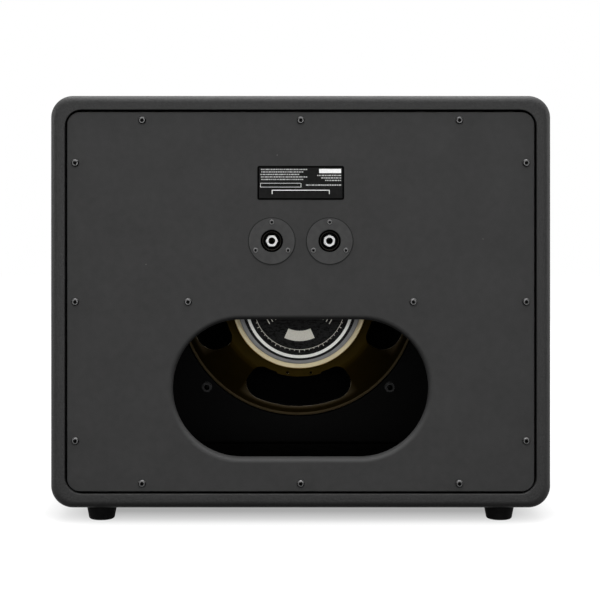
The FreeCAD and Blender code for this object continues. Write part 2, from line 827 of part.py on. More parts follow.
def baffle_screws():
    facing_front = [turned_about(wood_screw(index * recess_turn_step), Z_AXIS, full_turn / 2)
                    for index in range(len(baffle_screw_places))]
    return [moved(screw, x, baffle_front, z) for screw, (x, z) in zip(facing_front, baffle_screw_places)]


cloth_width = opening_width - 2 * grille_clearance
cloth_height = opening_height - 2 * grille_clearance
frame_width = cloth_width - 2 * cloth_thickness
frame_height = cloth_height - 2 * cloth_thickness
cloth_corner = opening_corner_radius - grille_clearance
frame_corner = cloth_corner - cloth_thickness


def grille_frame():
    frame = rounded_prism(frame_width, frame_height, frame_corner, (frame_front, frame_rear), body_middle)
    window = rounded_prism(frame_width - 2 * grille_bar_width, frame_height - 2 * grille_bar_width,
                           grille_bar_radius, (frame_front - overrun, frame_rear + overrun), body_middle)
    return frame.cut(window)


def grille_cloth():
    """Cloth stretched over the front and the sides of the grille frame."""
    cover = rounded_prism(cloth_width, cloth_height, cloth_corner, (cloth_front, frame_rear), body_middle)
    return cover.cut(rounded_prism(frame_width, frame_height, frame_corner,
                                   (frame_front, frame_rear + overrun), body_middle))


def grille_fixing_pads():
    """Hook and loop pads between the grille frame and the baffle."""
    pad_x = frame_width / 2 - grille_bar_width / 2
    pad_z = frame_height / 2 - grille_bar_width / 2
    y_range = (frame_rear, baffle_front)
    level = [slab(between(share * pad_x, pad_length), y_range, between(body_middle + z, pad_width))
             for share in (-pad_place_share, pad_place_share) for z in (pad_z, -pad_z)]
    upright = [slab(between(x, pad_width), y_range, between(body_middle + share * pad_z, pad_length))
               for x in (pad_x, -pad_x) for share in (-pad_place_share, pad_place_share)]
    return level + upright


# Driver frame

def window_tool(angle):
    """The cut for one basket window: a sector with round corners, less a tab at its inner edge."""
    y_range = (flange_rear + basket_sheet, seat_rear + overrun)

    def sector(inner, outer, half_angle):
        limits = [math.radians(angle - half_angle), math.radians(angle), math.radians(angle + half_angle)]

        def arc(radius, order):
            spots = [vec(radius * math.cos(limits[i]), y_range[0], driver_z + radius * math.sin(limits[i]))
                     for i in order]
            return spots[0], Part.Arc(*spots).toShape(), spots[-1]

        outer_start, outer_arc, outer_end = arc(outer, (0, 1, 2))
        inner_start, inner_arc, inner_end = arc(inner, (2, 1, 0))
        loop = [outer_arc, Part.LineSegment(outer_end, inner_start).toShape(), inner_arc,
                Part.LineSegment(inner_end, outer_start).toShape()]
        return Part.Face(Part.Wire(loop)).extrude(vec(0, y_range[1] - y_range[0], 0))

    tool = sector(window_inner_radius, window_outer_radius, window_half_angle)
    middle_radius = (window_inner_radius + window_outer_radius) / 2
    upright = [edge for edge in tool.Edges if edge.BoundBox.YLength > basket_sheet]
    outer_edges = [edge for edge in upright
                   if math.hypot(edge.BoundBox.Center.x, edge.BoundBox.Center.z - driver_z) > middle_radius]
    radial = window_outer_radius - window_inner_radius
    tool = tool.makeFillet(min(window_outer_round, window_outer_round_limit_share * radial), outer_edges)
    inner_edges = [edge for edge in tool.Edges if edge.BoundBox.YLength > basket_sheet
                   and math.hypot(edge.BoundBox.Center.x, edge.BoundBox.Center.z - driver_z)
                   < window_inner_radius + overrun]
    tool = tool.makeFillet(min(window_inner_round, window_inner_round_limit_share * radial), inner_edges)
    tab = sector(window_inner_radius - overrun, tab_radius, tab_half_angle)
    tab_corners = [edge for edge in tab.Edges if edge.BoundBox.YLength > basket_sheet
                   and math.hypot(edge.BoundBox.Center.x, edge.BoundBox.Center.z - driver_z)
                   > tab_radius - tiny]
    return tool.cut(tab.makeFillet(tab_round, tab_corners))


def tab_hole_places():
    """Two rivet holes in the upper tab, which carries the terminals, and in the lower one, which is spare."""
    rise = math.sqrt(tab_hole_circle_radius ** 2 - (tab_hole_spacing / 2) ** 2)
    return [(x, driver_z + z) for z in (rise, -rise) for x in between(0, tab_hole_spacing)]


def plate_rivet_places():
    ring = circle_points(plate_rivet_count, plate_rivet_circle_radius, right_angle / 2)
    return [(x, driver_z + z) for x, z in ring]


def speaker_basket():
    """Pressed steel basket: mounting flange, skirt, ledge, window wall and magnet seat in one sheet."""
    flange_middle = flange_front + basket_sheet / 2
    seat_middle = seat_front + basket_sheet / 2
    ledge = flange_middle + basket_ledge_height
    path = [(basket_hole_radius, seat_middle, 0), (basket_seat_radius, seat_middle, basket_seat_bend),
            (basket_ledge_inner, ledge, basket_ledge_bend), (basket_ledge_outer, ledge, basket_ledge_bend),
            (basket_ledge_outer, flange_middle, basket_sheet * 2), (driver_flange_radius, flange_middle, 0)]
    basket = turned(sheet_profile(path, basket_sheet), 0, driver_z)
    for index in range(window_count):
        basket = basket.cut(window_tool(right_angle + index * full_turn / window_count))
    through_flange = (flange_front - overrun, flange_rear + overrun)
    through_seat = (seat_front - overrun, seat_rear + overrun)
    holes = [cylinder_y(driver_bolt_radius + driver_bolt_clearance, through_flange, x, z)
             for x, z in driver_bolt_places]
    holes += [cylinder_y(tab_hole_radius, through_seat, x, z) for x, z in tab_hole_places()]
    holes += [cylinder_y(rivet_radius + rivet_clearance, through_seat, x, z) for x, z in plate_rivet_places()]
    return cut_all(basket, holes)


def speaker_gasket():
    y_range = (flange_rear, baffle_front)
    ring = cylinder_y(driver_flange_radius, y_range, 0, driver_z)
    ring = ring.cut(cylinder_y(driver_flange_radius - gasket_width, y_range, 0, driver_z))
    return cut_all(ring, [cylinder_y(driver_bolt_radius + driver_bolt_clearance, y_range, x, z)
                          for x, z in driver_bolt_places])


def speaker_bolts():
    length = basket_sheet + gasket_thickness + baffle_thickness + driver_nut_height - driver_bolt_short
    recess = (driver_recess_length, driver_recess_width, driver_recess_depth)
    bolt = pan_screw(driver_bolt_head_radius, driver_bolt_head_height, driver_bolt_head_round,
                     driver_bolt_radius, length, driver_bolt_tip, recess, right_angle / 2)
    bolt = turned_about(bolt, Z_AXIS, full_turn / 2)
    return [moved(bolt, x, flange_front, z) for x, z in driver_bolt_places]


def speaker_nuts():
    bore = driver_bolt_radius + driver_nut_clearance
    nut = hexagon_nut(driver_nut_flats, driver_nut_height, bore, nut_chamfer, 0)
    collar = cylinder_y(driver_nut_flange_radius, (0, driver_nut_flange_height), 0, 0)
    nut = nut.fuse(collar.cut(cylinder_y(bore, (0, driver_nut_flange_height), 0, 0))).removeSplitter()
    return [moved(nut, x, baffle_rear, z) for x, z in driver_bolt_places]


# Driver magnet assembly

def front_plate():
    through = (seat_rear - overrun, front_plate_rear + overrun)
    plate = cylinder_y(front_plate_radius, (seat_rear, front_plate_rear), 0, driver_z)
    holes = [cylinder_y(winding_outer + winding_gap, through, 0, driver_z)]
    holes += [cylinder_y(rivet_radius + rivet_clearance, through, x, z) for x, z in plate_rivet_places()]
    return cut_all(plate, holes)


def magnet_ring():
    profile = [(magnet_inner_radius, front_plate_rear, 0), (magnet_radius, front_plate_rear, magnet_round),
               (magnet_radius, magnet_rear, magnet_round), (magnet_inner_radius, magnet_rear, 0)]
    return turned(profile, 0, driver_z)


def back_plate():
    """The rear plate and the pole that stands on it, inside the voice coil."""
    pole = coil_radius - pole_gap
    profile = [(0, seat_rear, 0), (pole, seat_rear, 0), (pole, magnet_rear, 0),
               (back_plate_radius, magnet_rear, 0),
               (back_plate_radius, back_plate_rear, back_plate_round), (0, back_plate_rear, 0)]
    return turned(profile, 0, driver_z)


def magnet_label():
    return cylinder_y(label_radius, (back_plate_rear, back_plate_rear + label_thickness), 0,
                      driver_z - label_drop)


def rivet(grip, back_head):
    """A rivet along Y with its front head under the plane y = 0, and a rear head past the grip if asked."""
    profile = [(0, -rivet_head_height, 0), (rivet_head_radius, -rivet_head_height, rivet_head_height / 2),
               (rivet_head_radius, 0, 0), (rivet_radius, 0, 0)]
    if back_head:
        rear = grip + rivet_head_height
        profile += [(rivet_radius, grip, 0), (rivet_head_radius, grip, 0),
                    (rivet_head_radius, rear, rivet_head_height / 2), (0, rear, 0)]
    else:
        profile += [(rivet_radius, grip, 0), (0, grip, 0)]
    return turned(profile)


def basket_rivets():
    """Rivets that hold the front plate to the basket, and the terminal board to the upper tab."""
    plate_grip = basket_sheet + front_plate_thickness
    board_grip = basket_sheet + terminal_board_thickness + tag_thickness
    rivets = [moved(rivet(plate_grip, False), x, seat_front, z) for x, z in plate_rivet_places()]
    upper = [(x, z) for x, z in tab_hole_places() if z > driver_z]
    return rivets + [moved(rivet(board_grip, True), x, seat_front, z) for x, z in upper]


# Driver moving parts

coil_middle = seat_rear + front_plate_thickness / 2
former_rear = coil_middle + winding_height / 2 + former_tail
former_front_y = seat_front - former_front
cone_neck_y = former_front_y + cone_neck_back
cone_lip = flange_front + cone_lip_back


def voice_coil_former():
    return turned([(coil_radius, former_front_y, 0), (former_outer, former_front_y, 0),
                   (former_outer, former_rear, 0), (coil_radius, former_rear, 0)], 0, driver_z)


def voice_coil_winding():
    front, rear = between(coil_middle, winding_height)
    return turned([(former_outer, front, 0), (winding_outer, front, 0),
                   (winding_outer, rear, 0), (former_outer, rear, 0)], 0, driver_z)


def cone_path():
    """Middle line of the cone: a collar on the former, a curved wall, and a flat lip."""
    neck = former_outer + cone_glue_gap + cone_thickness / 2
    neck_front = cone_neck_y - cone_neck_length
    return [(neck, cone_neck_y, 0), (neck, neck_front, cone_neck_bend),
            (cone_knee_radius, neck_front - cone_knee_forward, cone_knee_bend),
            (cone_lip_inner, cone_lip, cone_lip_bend), (cone_lip_outer, cone_lip, 0)]


def speaker_cone():
    return turned(sheet_profile(cone_path(), cone_thickness), 0, driver_z)


def cone_front_at(radius):
    """Where the straight inner stretch of the cone's front face lies, at a radius."""
    (_, _, _), (neck, neck_front, _), (knee, knee_y, _) = cone_path()[:3]
    slope = math.atan2(neck_front - knee_y, knee - neck)
    middle = neck_front - (radius - neck) * math.tan(slope)
    return middle - cone_thickness / 2 / math.cos(slope)


def dust_cap():
    """A shallow dome glued over the cone's neck, hollow towards the coil."""
    rim_y = cone_front_at(dust_cap_radius) - dust_cap_thickness
    reach = math.sqrt(dust_cap_sphere ** 2 - dust_cap_radius ** 2)
    centre = vec(0, rim_y + reach, driver_z)
    hollow = Part.makeSphere(dust_cap_sphere - dust_cap_thickness, centre)
    shell = Part.makeSphere(dust_cap_sphere, centre).cut(hollow)
    keep = cylinder_y(dust_cap_radius, (centre.y - dust_cap_sphere - overrun, rim_y), 0, driver_z)
    return shell.common(keep)


def cone_surround():
    """The pleated edge between the cone's lip and the basket's flange."""
    inner_y = cone_lip - cone_thickness / 2 - surround_thickness / 2
    rim_y = flange_front - surround_thickness / 2
    start = cone_lip_outer + surround_bend
    path = [(cone_lip_outer - surround_glue_width, inner_y, 0), (start, inner_y, surround_bend)]
    half_waves = 2 * surround_roll_count
    pitch = (surround_rim_inner - start) / half_waves
    for index in range(1, half_waves):
        y = rim_y - surround_roll_front if index % 2 else rim_y + surround_roll_back
        path.append((start + index * pitch, y, surround_bend))
    path += [(surround_rim_inner, rim_y, surround_bend), (surround_rim_outer, rim_y, 0)]
    return turned(sheet_profile(path, surround_thickness), 0, driver_z)


def spider():
    """The corrugated disc that centres the voice coil, glued to the basket's seat and to the former."""
    seat_y = seat_front - spider_thickness / 2
    level = seat_y - spider_rise
    path = [(spider_seat_outer, seat_y, 0), (spider_seat_inner, seat_y, spider_bend)]
    half_waves = 2 * spider_roll_count
    first = spider_seat_inner - spider_rise / 2
    pitch = (first - spider_roll_start) / half_waves
    for index in range(half_waves):
        y = level - spider_roll_height if index % 2 else level + spider_roll_height
        path.append((first - index * pitch, y, spider_bend))
    path += [(spider_roll_start, level, spider_bend), (former_outer + cone_glue_gap, level, 0)]
    return turned(sheet_profile(path, spider_thickness), 0, driver_z)


# Driver terminals and wiring

board_rear = seat_rear + terminal_board_thickness
tag_rear = board_rear + tag_thickness
tag_x = tab_hole_spacing / 2
connector_y = board_rear + tag_thickness / 2
connector_top = driver_z + connector_start + connector_length
barrel_top = connector_top + connector_barrel_length


def upper_rivet_holes(y_range):
    upper = [(x, z) for x, z in tab_hole_places() if z > driver_z]
    return [cylinder_y(rivet_radius + rivet_clearance, y_range, x, z) for x, z in upper]


def terminal_board():
    board = slab(between(0, terminal_board_width), (seat_rear, board_rear),
                 (driver_z + terminal_board_inner, driver_z + terminal_board_outer))
    return cut_all(board, upper_rivet_holes((seat_rear - overrun, board_rear + overrun)))


def terminal_tags():
    tags = [slab(between(x, tag_width), (board_rear, tag_rear), (driver_z + tag_inner, driver_z + tag_outer))
            for x in (-tag_x, tag_x)]
    holes = upper_rivet_holes((board_rear - overrun, tag_rear + overrun))
    return [cut_all(tag, holes) for tag in tags]


def push_on_connectors():
    """Receptacles pushed onto the tags, each with a round crimp barrel for its wire."""
    connectors = []
    for x in (-tag_x, tag_x):
        body = slab(between(x, connector_width), between(connector_y, connector_thickness),
                    (driver_z + connector_start, connector_top))
        barrel = Part.makeCylinder(connector_barrel_radius, connector_barrel_length + overrun,
                                   vec(x, connector_y, connector_top - overrun), Z_AXIS)
        slot = slab(between(x, tag_width + 2 * connector_clearance),
                    between(connector_y, tag_thickness + 2 * connector_clearance),
                    (driver_z + connector_start - overrun, driver_z + tag_outer + connector_clearance))
        connectors.append(body.fuse(barrel).removeSplitter().cut(slot))
    return connectors


def routed(start, end, crown, shares):
    """A route's points: shares of the way across and along, and of the rise to the crown."""
    middle = [vec(start.x + share_x * (end.x - start.x), start.y + share_y * (end.y - start.y),
                  start.z + share_z * (crown - start.z)) for share_x, share_y, share_z in shares]
    return [start] + middle + [end]


def speaker_wire_positive():
    """From the right socket's tip lug, up and over to the right terminal."""
    start = vec(dish_x - insulator_width / 2 - lug_reach / 2, sum(insulator_y) / 2, lug_top)
    end = vec(tag_x, connector_y, barrel_top)
    points = routed(start, end, barrel_top + wire_crown, positive_route_shares)
    return tube(points, wire_radius, "speaker_wire_positive")


def speaker_wire_negative():
    """From the left socket's sleeve tag, up and over to the left terminal."""
    start = vec(-dish_x, leg_end - jack_tag_length / 2, leg_top)
    end = vec(-tag_x, connector_y, barrel_top)
    points = routed(start, end, barrel_top + wire_crown, negative_route_shares)
    return tube(points, wire_radius, "speaker_wire_negative")


def jack_link_wires():
    """Two short wires that join the sockets, tip to tip and sleeve to sleeve, each with a little sag."""
    lug_y = sum(insulator_y) / 2
    tag_y = leg_end - jack_tag_length / 2
    ends = {"tip": (dish_x - insulator_width / 2 - lug_reach, lug_y, insulator_top + contact_sheet / 2),
            "sleeve": (dish_x - jack_tag_width / 2, tag_y, (leg_bottom + leg_top) / 2)}
    wires = []
    for name, (reach, y, z) in ends.items():
        knee = reach / 2
        half = [vec(reach, y, z), vec(reach - link_lead, y, z), vec(knee, y, z - link_sag)]
        points = [vec(-point.x, point.y, point.z) for point in half] + half[::-1]
        wires.append(tube(points, wire_radius, "jack_link_wire_" + name))
    return wires


def tinsel_leads():
    """Flexible braids from the terminal tags, through the upper window, to the back of the cone."""
    landing_y = cone_front_at(cone_knee_radius) + cone_thickness + tinsel_gap + tinsel_radius * 2
    start_z = driver_z + terminal_board_outer + tinsel_radius + tinsel_gap
    leads = []
    for x in (-tag_x, tag_x):
        points = routed(vec(x, board_rear, start_z), vec(x, landing_y, driver_z + cone_knee_radius),
                        driver_z + cone_knee_radius, tinsel_route_shares)
        leads.append(tube(points, tinsel_radius, "tinsel_lead"))
    return leads


# Feet

def rubber_foot(x, y):
    """A tapered rubber foot with a stepped hole for its screw."""
    step = foot_counterbore_depth
    foot = turned([(foot_counterbore_radius, 0, 0), (foot_bottom_radius, 0, foot_round),
                   (foot_top_radius, foot_height, 0), (foot_bore_radius, foot_height, 0),
                   (foot_bore_radius, step, 0), (foot_counterbore_radius, step, 0)])
    return moved(turned_about(foot, X_AXIS, right_angle), x, y, 0)


def foot_screws():
    """A washer and a screw up through each foot into the bottom board."""
    seat = foot_counterbore_depth - washer_thickness
    recess = (recess_length, recess_width, recess_depth)
    fixings = []
    for index, (x, y) in enumerate(foot_places.values()):
        screw = pan_screw(screw_head_radius, screw_head_height, screw_head_round, foot_screw_shank_radius,
                          foot_screw_length, screw_tip_length, recess, index * recess_turn_step)
        fixings.append(moved(turned_about(screw, X_AXIS, -right_angle), x, y, seat))
        washer = Part.makeCylinder(washer_radius, washer_thickness, vec(x, y, seat), Z_AXIS)
        hole = Part.makeCylinder(foot_bore_radius, washer_thickness, vec(x, y, seat), Z_AXIS)
        fixings.append(washer.cut(hole))
    return fixings


def all_nodes():
    """Every node's name with its solid, or its group of separate solids."""
    nodes = {name: [shape] for name, shape in carcase().items()}
    nodes["vinyl_covering"] = [vinyl_covering()]
    nodes["rear_cleats"] = rear_cleats()
    nodes["front_cleats"] = front_cleats()
    nodes["rear_panel_screws"] = rear_panel_screws()
    nodes["baffle_screws"] = baffle_screws()
    nodes["grille_fixing_pads"] = grille_fixing_pads()
    nodes["jack_dish_screws"] = jack_dish_screws()
    nodes["jack_tip_lugs"] = [jack_tip_lug(x) for x in jack_sides.values()]
    nodes["jack_link_wires"] = jack_link_wires()
    nodes["push_on_connectors"] = push_on_connectors()
    nodes["basket_rivets"] = basket_rivets()
    nodes["terminal_tags"] = terminal_tags()
    nodes["tinsel_leads"] = tinsel_leads()
    nodes["speaker_bolts"] = speaker_bolts()
    nodes["speaker_nuts"] = speaker_nuts()
    nodes["foot_screws"] = foot_screws()
    for make in (rear_brace, baffle_board, grille_frame, grille_cloth, rear_panel, rating_plate,
                 speaker_wire_positive, speaker_wire_negative, speaker_basket, speaker_gasket, front_plate,
                 magnet_ring, back_plate, magnet_label, voice_coil_former, voice_coil_winding, spider,
                 speaker_cone, cone_surround, dust_cap, terminal_board):
        nodes[make.__name__] = [make()]
    for side, x in jack_sides.items():
        nodes[side + "_jack_dish"] = [jack_dish(x)]
        nodes[side + "_jack_frame"] = [jack_frame(x)]
        nodes[side + "_jack_insulator"] = [jack_insulator(x)]
        nodes[side + "_jack_tip_spring"] = [jack_tip_spring(x)]
        nodes[side + "_jack_nut"] = [jack_nut(x, 0 if x < 0 else right_angle)]
    for name, (x, y) in foot_places.items():
        nodes[name] = [rubber_foot(x, y)]
    return nodes


def main():
    os.makedirs("parts", exist_ok=True)
    for name, shapes in all_nodes().items():
        solids = [solid for shape in shapes for solid in shape.Solids]
        whole = solids[0] if len(solids) == 1 else Part.makeCompound(solids)
        whole.exportStep(os.path.join("parts", name + ".step"))


if __name__ == "__main__":
    main()
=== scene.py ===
import json
import math

import bpy
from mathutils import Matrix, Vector, noise
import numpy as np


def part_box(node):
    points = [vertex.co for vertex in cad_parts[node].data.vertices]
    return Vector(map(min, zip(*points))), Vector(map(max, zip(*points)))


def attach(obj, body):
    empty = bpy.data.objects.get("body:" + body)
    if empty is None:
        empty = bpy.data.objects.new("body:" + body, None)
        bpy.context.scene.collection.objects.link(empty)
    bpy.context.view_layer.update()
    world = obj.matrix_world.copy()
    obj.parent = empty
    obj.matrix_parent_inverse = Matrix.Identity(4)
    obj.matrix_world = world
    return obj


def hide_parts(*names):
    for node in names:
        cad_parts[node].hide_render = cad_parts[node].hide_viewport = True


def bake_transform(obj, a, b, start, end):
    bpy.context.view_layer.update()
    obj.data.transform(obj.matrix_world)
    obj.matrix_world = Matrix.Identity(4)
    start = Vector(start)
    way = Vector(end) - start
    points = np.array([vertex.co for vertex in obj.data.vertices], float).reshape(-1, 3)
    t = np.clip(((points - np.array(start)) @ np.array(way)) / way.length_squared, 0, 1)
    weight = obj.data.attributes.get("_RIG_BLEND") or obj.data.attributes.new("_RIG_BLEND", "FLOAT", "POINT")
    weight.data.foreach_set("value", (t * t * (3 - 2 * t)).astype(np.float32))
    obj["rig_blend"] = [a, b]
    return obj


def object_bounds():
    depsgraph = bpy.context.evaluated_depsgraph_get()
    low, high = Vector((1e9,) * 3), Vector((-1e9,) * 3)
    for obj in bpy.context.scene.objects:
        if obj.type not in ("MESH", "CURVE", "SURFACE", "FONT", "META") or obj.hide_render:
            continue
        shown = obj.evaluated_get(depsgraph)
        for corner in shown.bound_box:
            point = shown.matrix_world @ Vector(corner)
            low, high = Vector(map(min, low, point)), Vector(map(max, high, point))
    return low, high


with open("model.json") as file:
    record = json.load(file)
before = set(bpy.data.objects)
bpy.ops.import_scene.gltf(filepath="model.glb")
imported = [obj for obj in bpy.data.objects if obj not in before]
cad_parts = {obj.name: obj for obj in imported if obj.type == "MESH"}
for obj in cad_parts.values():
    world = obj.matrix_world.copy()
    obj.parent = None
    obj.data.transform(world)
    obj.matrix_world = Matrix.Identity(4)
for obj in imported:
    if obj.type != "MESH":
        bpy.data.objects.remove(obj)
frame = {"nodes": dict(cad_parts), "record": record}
cad_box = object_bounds()

# Looks of an open-backed guitar speaker cabinet. Lengths are in metres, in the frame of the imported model:
# +Z is up, the grille faces -Y and the back panel, which the photograph shows, faces +Y.

MM = 0.001
NODES = frame["nodes"]
WHITE = (1, 1, 1, 1)

# Vinyl wrap
vinyl_thickness = 0.8 * MM
wall = 14.6 * MM
outer_corner = 22.0 * MM
opening_corner = 17.0 * MM
edge_round = 8.0 * MM
lip_round = 0.9 * MM
front_turn_in = 18.0 * MM
rear_turn_in = 14.0 * MM
wrap_swell = 0.06 * MM
wrap_swell_size = 14.0 * MM
lip_steps = 7
edge_steps = 13
depth_steps = 40
wrap_side_steps = 60
wrap_corner_steps = 17
vinyl_drift = 1.2 * MM
vinyl_drift_scale = 260.0

# Grille cloth
cloth_round = 2.2 * MM
cloth_sheet = 0.6 * MM
cloth_gap = 0.7 * MM
cloth_least_corner = 0.2 * MM
cloth_border_insets = (6.0 * MM, 10.0 * MM, 14.0 * MM)
cloth_unevenness = 0.15 * MM
cloth_unevenness_size = 30.0 * MM
cloth_first_share = 0.95
cloth_last_share = 0.05
cloth_rings = 28
cloth_side_steps = 40
cloth_corner_steps = 9
thread_pitch = 2.4 * MM

# Driver, soft parts
turn_steps = 128
wave_steps = 16
wave_fade = 6
surround_thickness = 0.5 * MM
surround_overlap = 4.5 * MM
surround_waves = 2
surround_wave_height = 1.1 * MM
surround_flat = 5.0 * MM
spider_thickness = 0.6 * MM
spider_gap = 0.1 * MM
spider_drop = 1.0 * MM
spider_waves = 5
spider_wave_height = 1.2 * MM
spider_inner_flat = 4.0 * MM
spider_outer_flat = 1.0 * MM
spider_wave_radius = 52.0 * MM
spider_hold_radius = 54.0 * MM
spider_foot_radius = 54.5 * MM
tinsel_radius = 0.7 * MM
tinsel_strands = 3
tinsel_sides = 10
tinsel_lay = 5.0 * MM
tinsel_route_shares = ((0, 0), (0.3, 0), (0.65, 0.3), (0.88, 0.75), (1, 1))
tinsel_end_shares = (0.8, 0.6)
strand_radius = tinsel_radius / 2
route_steps = 16

# Places where a look changes on a piece
dish_well_depth = 0.8 * MM
dish_painted_shadow_radius = 22.9 * MM
jack_bore_radius = 3.5 * MM
screw_reach = 9.0 * MM
screw_rim_width = 3.0 * MM
panel_screw_well = 1.9 * MM
panel_screw_rim = 2.9 * MM
dish_screw_well = 1.4 * MM
dish_screw_rim = 2.35 * MM
basket_ledge_radius = 133.9 * MM
basket_rim_outside = 130.5 * MM
basket_rim_full = 124.5 * MM
basket_rim_inside = 100.0 * MM
basket_cut_radius = 127.0 * MM
coil_pitch = 0.3 * MM

# Print on the rating plate
ink_thickness = 0.04 * MM
plate_border = 1.7 * MM
plate_margin = 3.0 * MM
rule_width = 0.7 * MM
field_width = 22.0 * MM
field_height = 4.2 * MM
dash_length = 1.6 * MM
dash_unevenness = 2.4 * MM
dash_least = 0.8 * MM
dash_gap = 0.55 * MM
dash_height = 1.1 * MM
row_pitch = 2.5 * MM
row_step = 4.0 * MM
row_end = 1.0 * MM
long_rows = 5
long_row_length = 47.0 * MM
long_row_turn = 3
short_rows = 3
short_row_length = 24.0 * MM
short_row_drop = 6.0 * MM
outline_inset = 40.0 * MM
outline_drop = 14.2 * MM
foot_row_length = 36.0 * MM
foot_row_drop = 15.6 * MM
foot_row_height = 1.2 * MM
foot_row_seed = 9
bracket_drop = 21.0 * MM
bracket_height = 4.2 * MM

# Print on the magnet's label
label_drop = 1.4 * MM
label_rim_inset = 3.75 * MM
label_rim_width = 3.15 * MM
tick_ring_radius = 49.0 * MM
tick_ring_width = 0.5 * MM
tick_count = 60
long_tick_every = 5
long_tick = 2.6 * MM
short_tick = 1.3 * MM
tick_half_angle = 0.35
label_field_radii = (29.0 * MM, 40.0 * MM)
label_field_angles = (90, 270)
label_field_half_angle = 24
label_field_steps = 16
label_row_radii = (30.0 * MM, 34.0 * MM, 38.0 * MM)
label_row_width = 0.9 * MM
label_row_angles = (0, 180)
label_row_half_angle = 34
label_row_steps = 24
hub_radii = (9.0 * MM, 12.0 * MM)
hub_steps = 48

# Floor and light: each lamp has its place, the point that it faces, its size and its power
floor_half = 6.0
floor_color = 0.12
floor_inset = 0.06
floor_reach = 0.5
# The floor's lift to white is least under the object, which paints a shadow there.
floor_lift_and_painted_shadow_stops = ((0.0, 0.38), (0.17, 0.95), (1.0, 1.0))
world_light = 0.14
lamps = {
    "overhead": ((0, -0.1, 2.1), (0, 0, 0.3), (2.2, 1.4), 60),
    "rear_top": ((0, 1.3, 1.75), (0, 0.13, 0.25), (1.8, 0.7), 19),
    "rear_key": ((0, 2.6, 0.37), (0, 0, 0.25), (3.2, 0.7), 42),
    "front_fill": ((-0.6, -2.6, 1.1), (0, 0, 0.25), (2.2, 1.6), 26),
    "left_fill": ((-2.4, 0.2, 0.7), (0, 0, 0.22), (1.2, 1.0), 24),
    "right_fill": ((2.4, 0.2, 0.7), (0, 0, 0.22), (1.2, 1.0), 24),
}

# Camera, set from the photograph's perspective
camera_place = (0.019, 1.6395, 0.3076)
camera_turn = (90, 0, 180)
camera_lens = 90.32
camera_sensor = 36.0
camera_shift = (0.0304, -0.1407)


# Places read from the frame

def middle_of(node):
    """The (x, z) middle of a node's box."""
    low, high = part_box(node)
    return ((low.x + high.x) / 2, (low.z + high.z) / 2)


def axes_of(node):
    """The (x, z) middle of each screw of a node, whose screws all run along Y."""
    groups = []
    for vertex in NODES[node].data.vertices:
        place = (vertex.co.x, vertex.co.z)
        for group in groups:
            if math.dist(group[0], place) < screw_reach:
                group.append(place)
                break
        else:
            groups.append([place])
    middles = []
    for group in groups:
        sides = [sorted(point[axis] for point in group) for axis in (0, 1)]
        middles.append(tuple((side[0] + side[-1]) / 2 for side in sides))
    return middles


driver_z = middle_of("magnet_ring")[1]


# Meshes

def add_piece(name, points, faces, look, body="cabinet", smooth=True):
    """A mesh object at the origin with one material. It rides on a body, unless it is blended later."""
    mesh = bpy.data.meshes.new(name)
    mesh.from_pydata([tuple(point) for point in points], [], faces)
    mesh.validate()
    mesh.update()
    for polygon in mesh.polygons:
        polygon.use_smooth = smooth
    mesh.materials.append(look)
    piece = bpy.data.objects.new(name, mesh)
    bpy.context.scene.collection.objects.link(piece)
    if body:
        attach(piece, body)
    return piece


def grid_faces(rows, columns, wrap_rows=False, wrap_columns=False):
    """Quads of a grid of points that is stored row by row."""
    faces = []
    for row in range(rows if wrap_rows else rows - 1):
        for column in range(columns if wrap_columns else columns - 1):
            below = (row + 1) % rows
            beside = (column + 1) % columns
            faces.append((row * columns + column, row * columns + beside,
                          below * columns + beside, below * columns + column))
    return faces


def spread(start, end, count):
    """Evenly spaced numbers from start to end, both included."""
    return [start + (end - start) * index / (count - 1) for index in range(count)]


def arc(centre, radius, start, end, count):
    """Points of an arc in a plane, with its angles in degrees."""
    angles = [math.radians(angle) for angle in spread(start, end, count)]
    return [(centre[0] + radius * math.cos(angle), centre[1] + radius * math.sin(angle)) for angle in angles]


def rounded_ring(half_x, half_z, radius, straight_steps, corner_steps):
    """(x, z) points round a rectangle with round corners, without a repeated last point."""
    corners = [((half_x - radius, half_z - radius), 0), ((radius - half_x, half_z - radius), 90),
               ((radius - half_x, radius - half_z), 180), ((half_x - radius, radius - half_z), 270)]
    ring = []
    for index, (centre, angle) in enumerate(corners):
        bend = arc(centre, radius, angle, angle + 90, corner_steps)
        following, next_angle = corners[(index + 1) % len(corners)]
        target = arc(following, radius, next_angle, next_angle + 90, corner_steps)[0]
        ring += bend
        for share in spread(0, 1, straight_steps + 2)[1:-1]:
            ring.append((bend[-1][0] + share * (target[0] - bend[-1][0]),
                         bend[-1][1] + share * (target[1] - bend[-1][1])))
    return ring


def turned_points(profile):
    """Points of a (radius, y) profile turned about the driver's axis, ring by ring."""
    points = []
    for radius, y in profile:
        for step in range(turn_steps):
            angle = 2 * math.pi * step / turn_steps
            points.append(Vector((radius * math.cos(angle), y, driver_z + radius * math.sin(angle))))
    return points


# Materials

def grey(level):
    return (level, level, level)


def add_node(tree, kind, inputs=None, **settings):
    """A shader node with its settings, and with each input either set or linked."""
    made = tree.nodes.new("ShaderNode" + kind)
    for key, value in settings.items():
        setattr(made, key, value)
    for socket, value in (inputs or {}).items():
        if isinstance(value, bpy.types.NodeSocket):
            tree.links.new(value, made.inputs[socket])
        else:
            made.inputs[socket].default_value = value
    return made


def add_ramp(tree, value, stops):
    """A colour ramp through stops, each a position with a colour or a grey level."""
    made = add_node(tree, "ValToRGB", {"Fac": value})
    elements = made.color_ramp.elements
    while len(elements) < len(stops):
        elements.new(0.5)
    for element, (position, color) in zip(elements, stops):
        element.position = position
        element.color = (*color, 1) if isinstance(color, tuple) else (*grey(color), 1)
    return made.outputs["Color"]


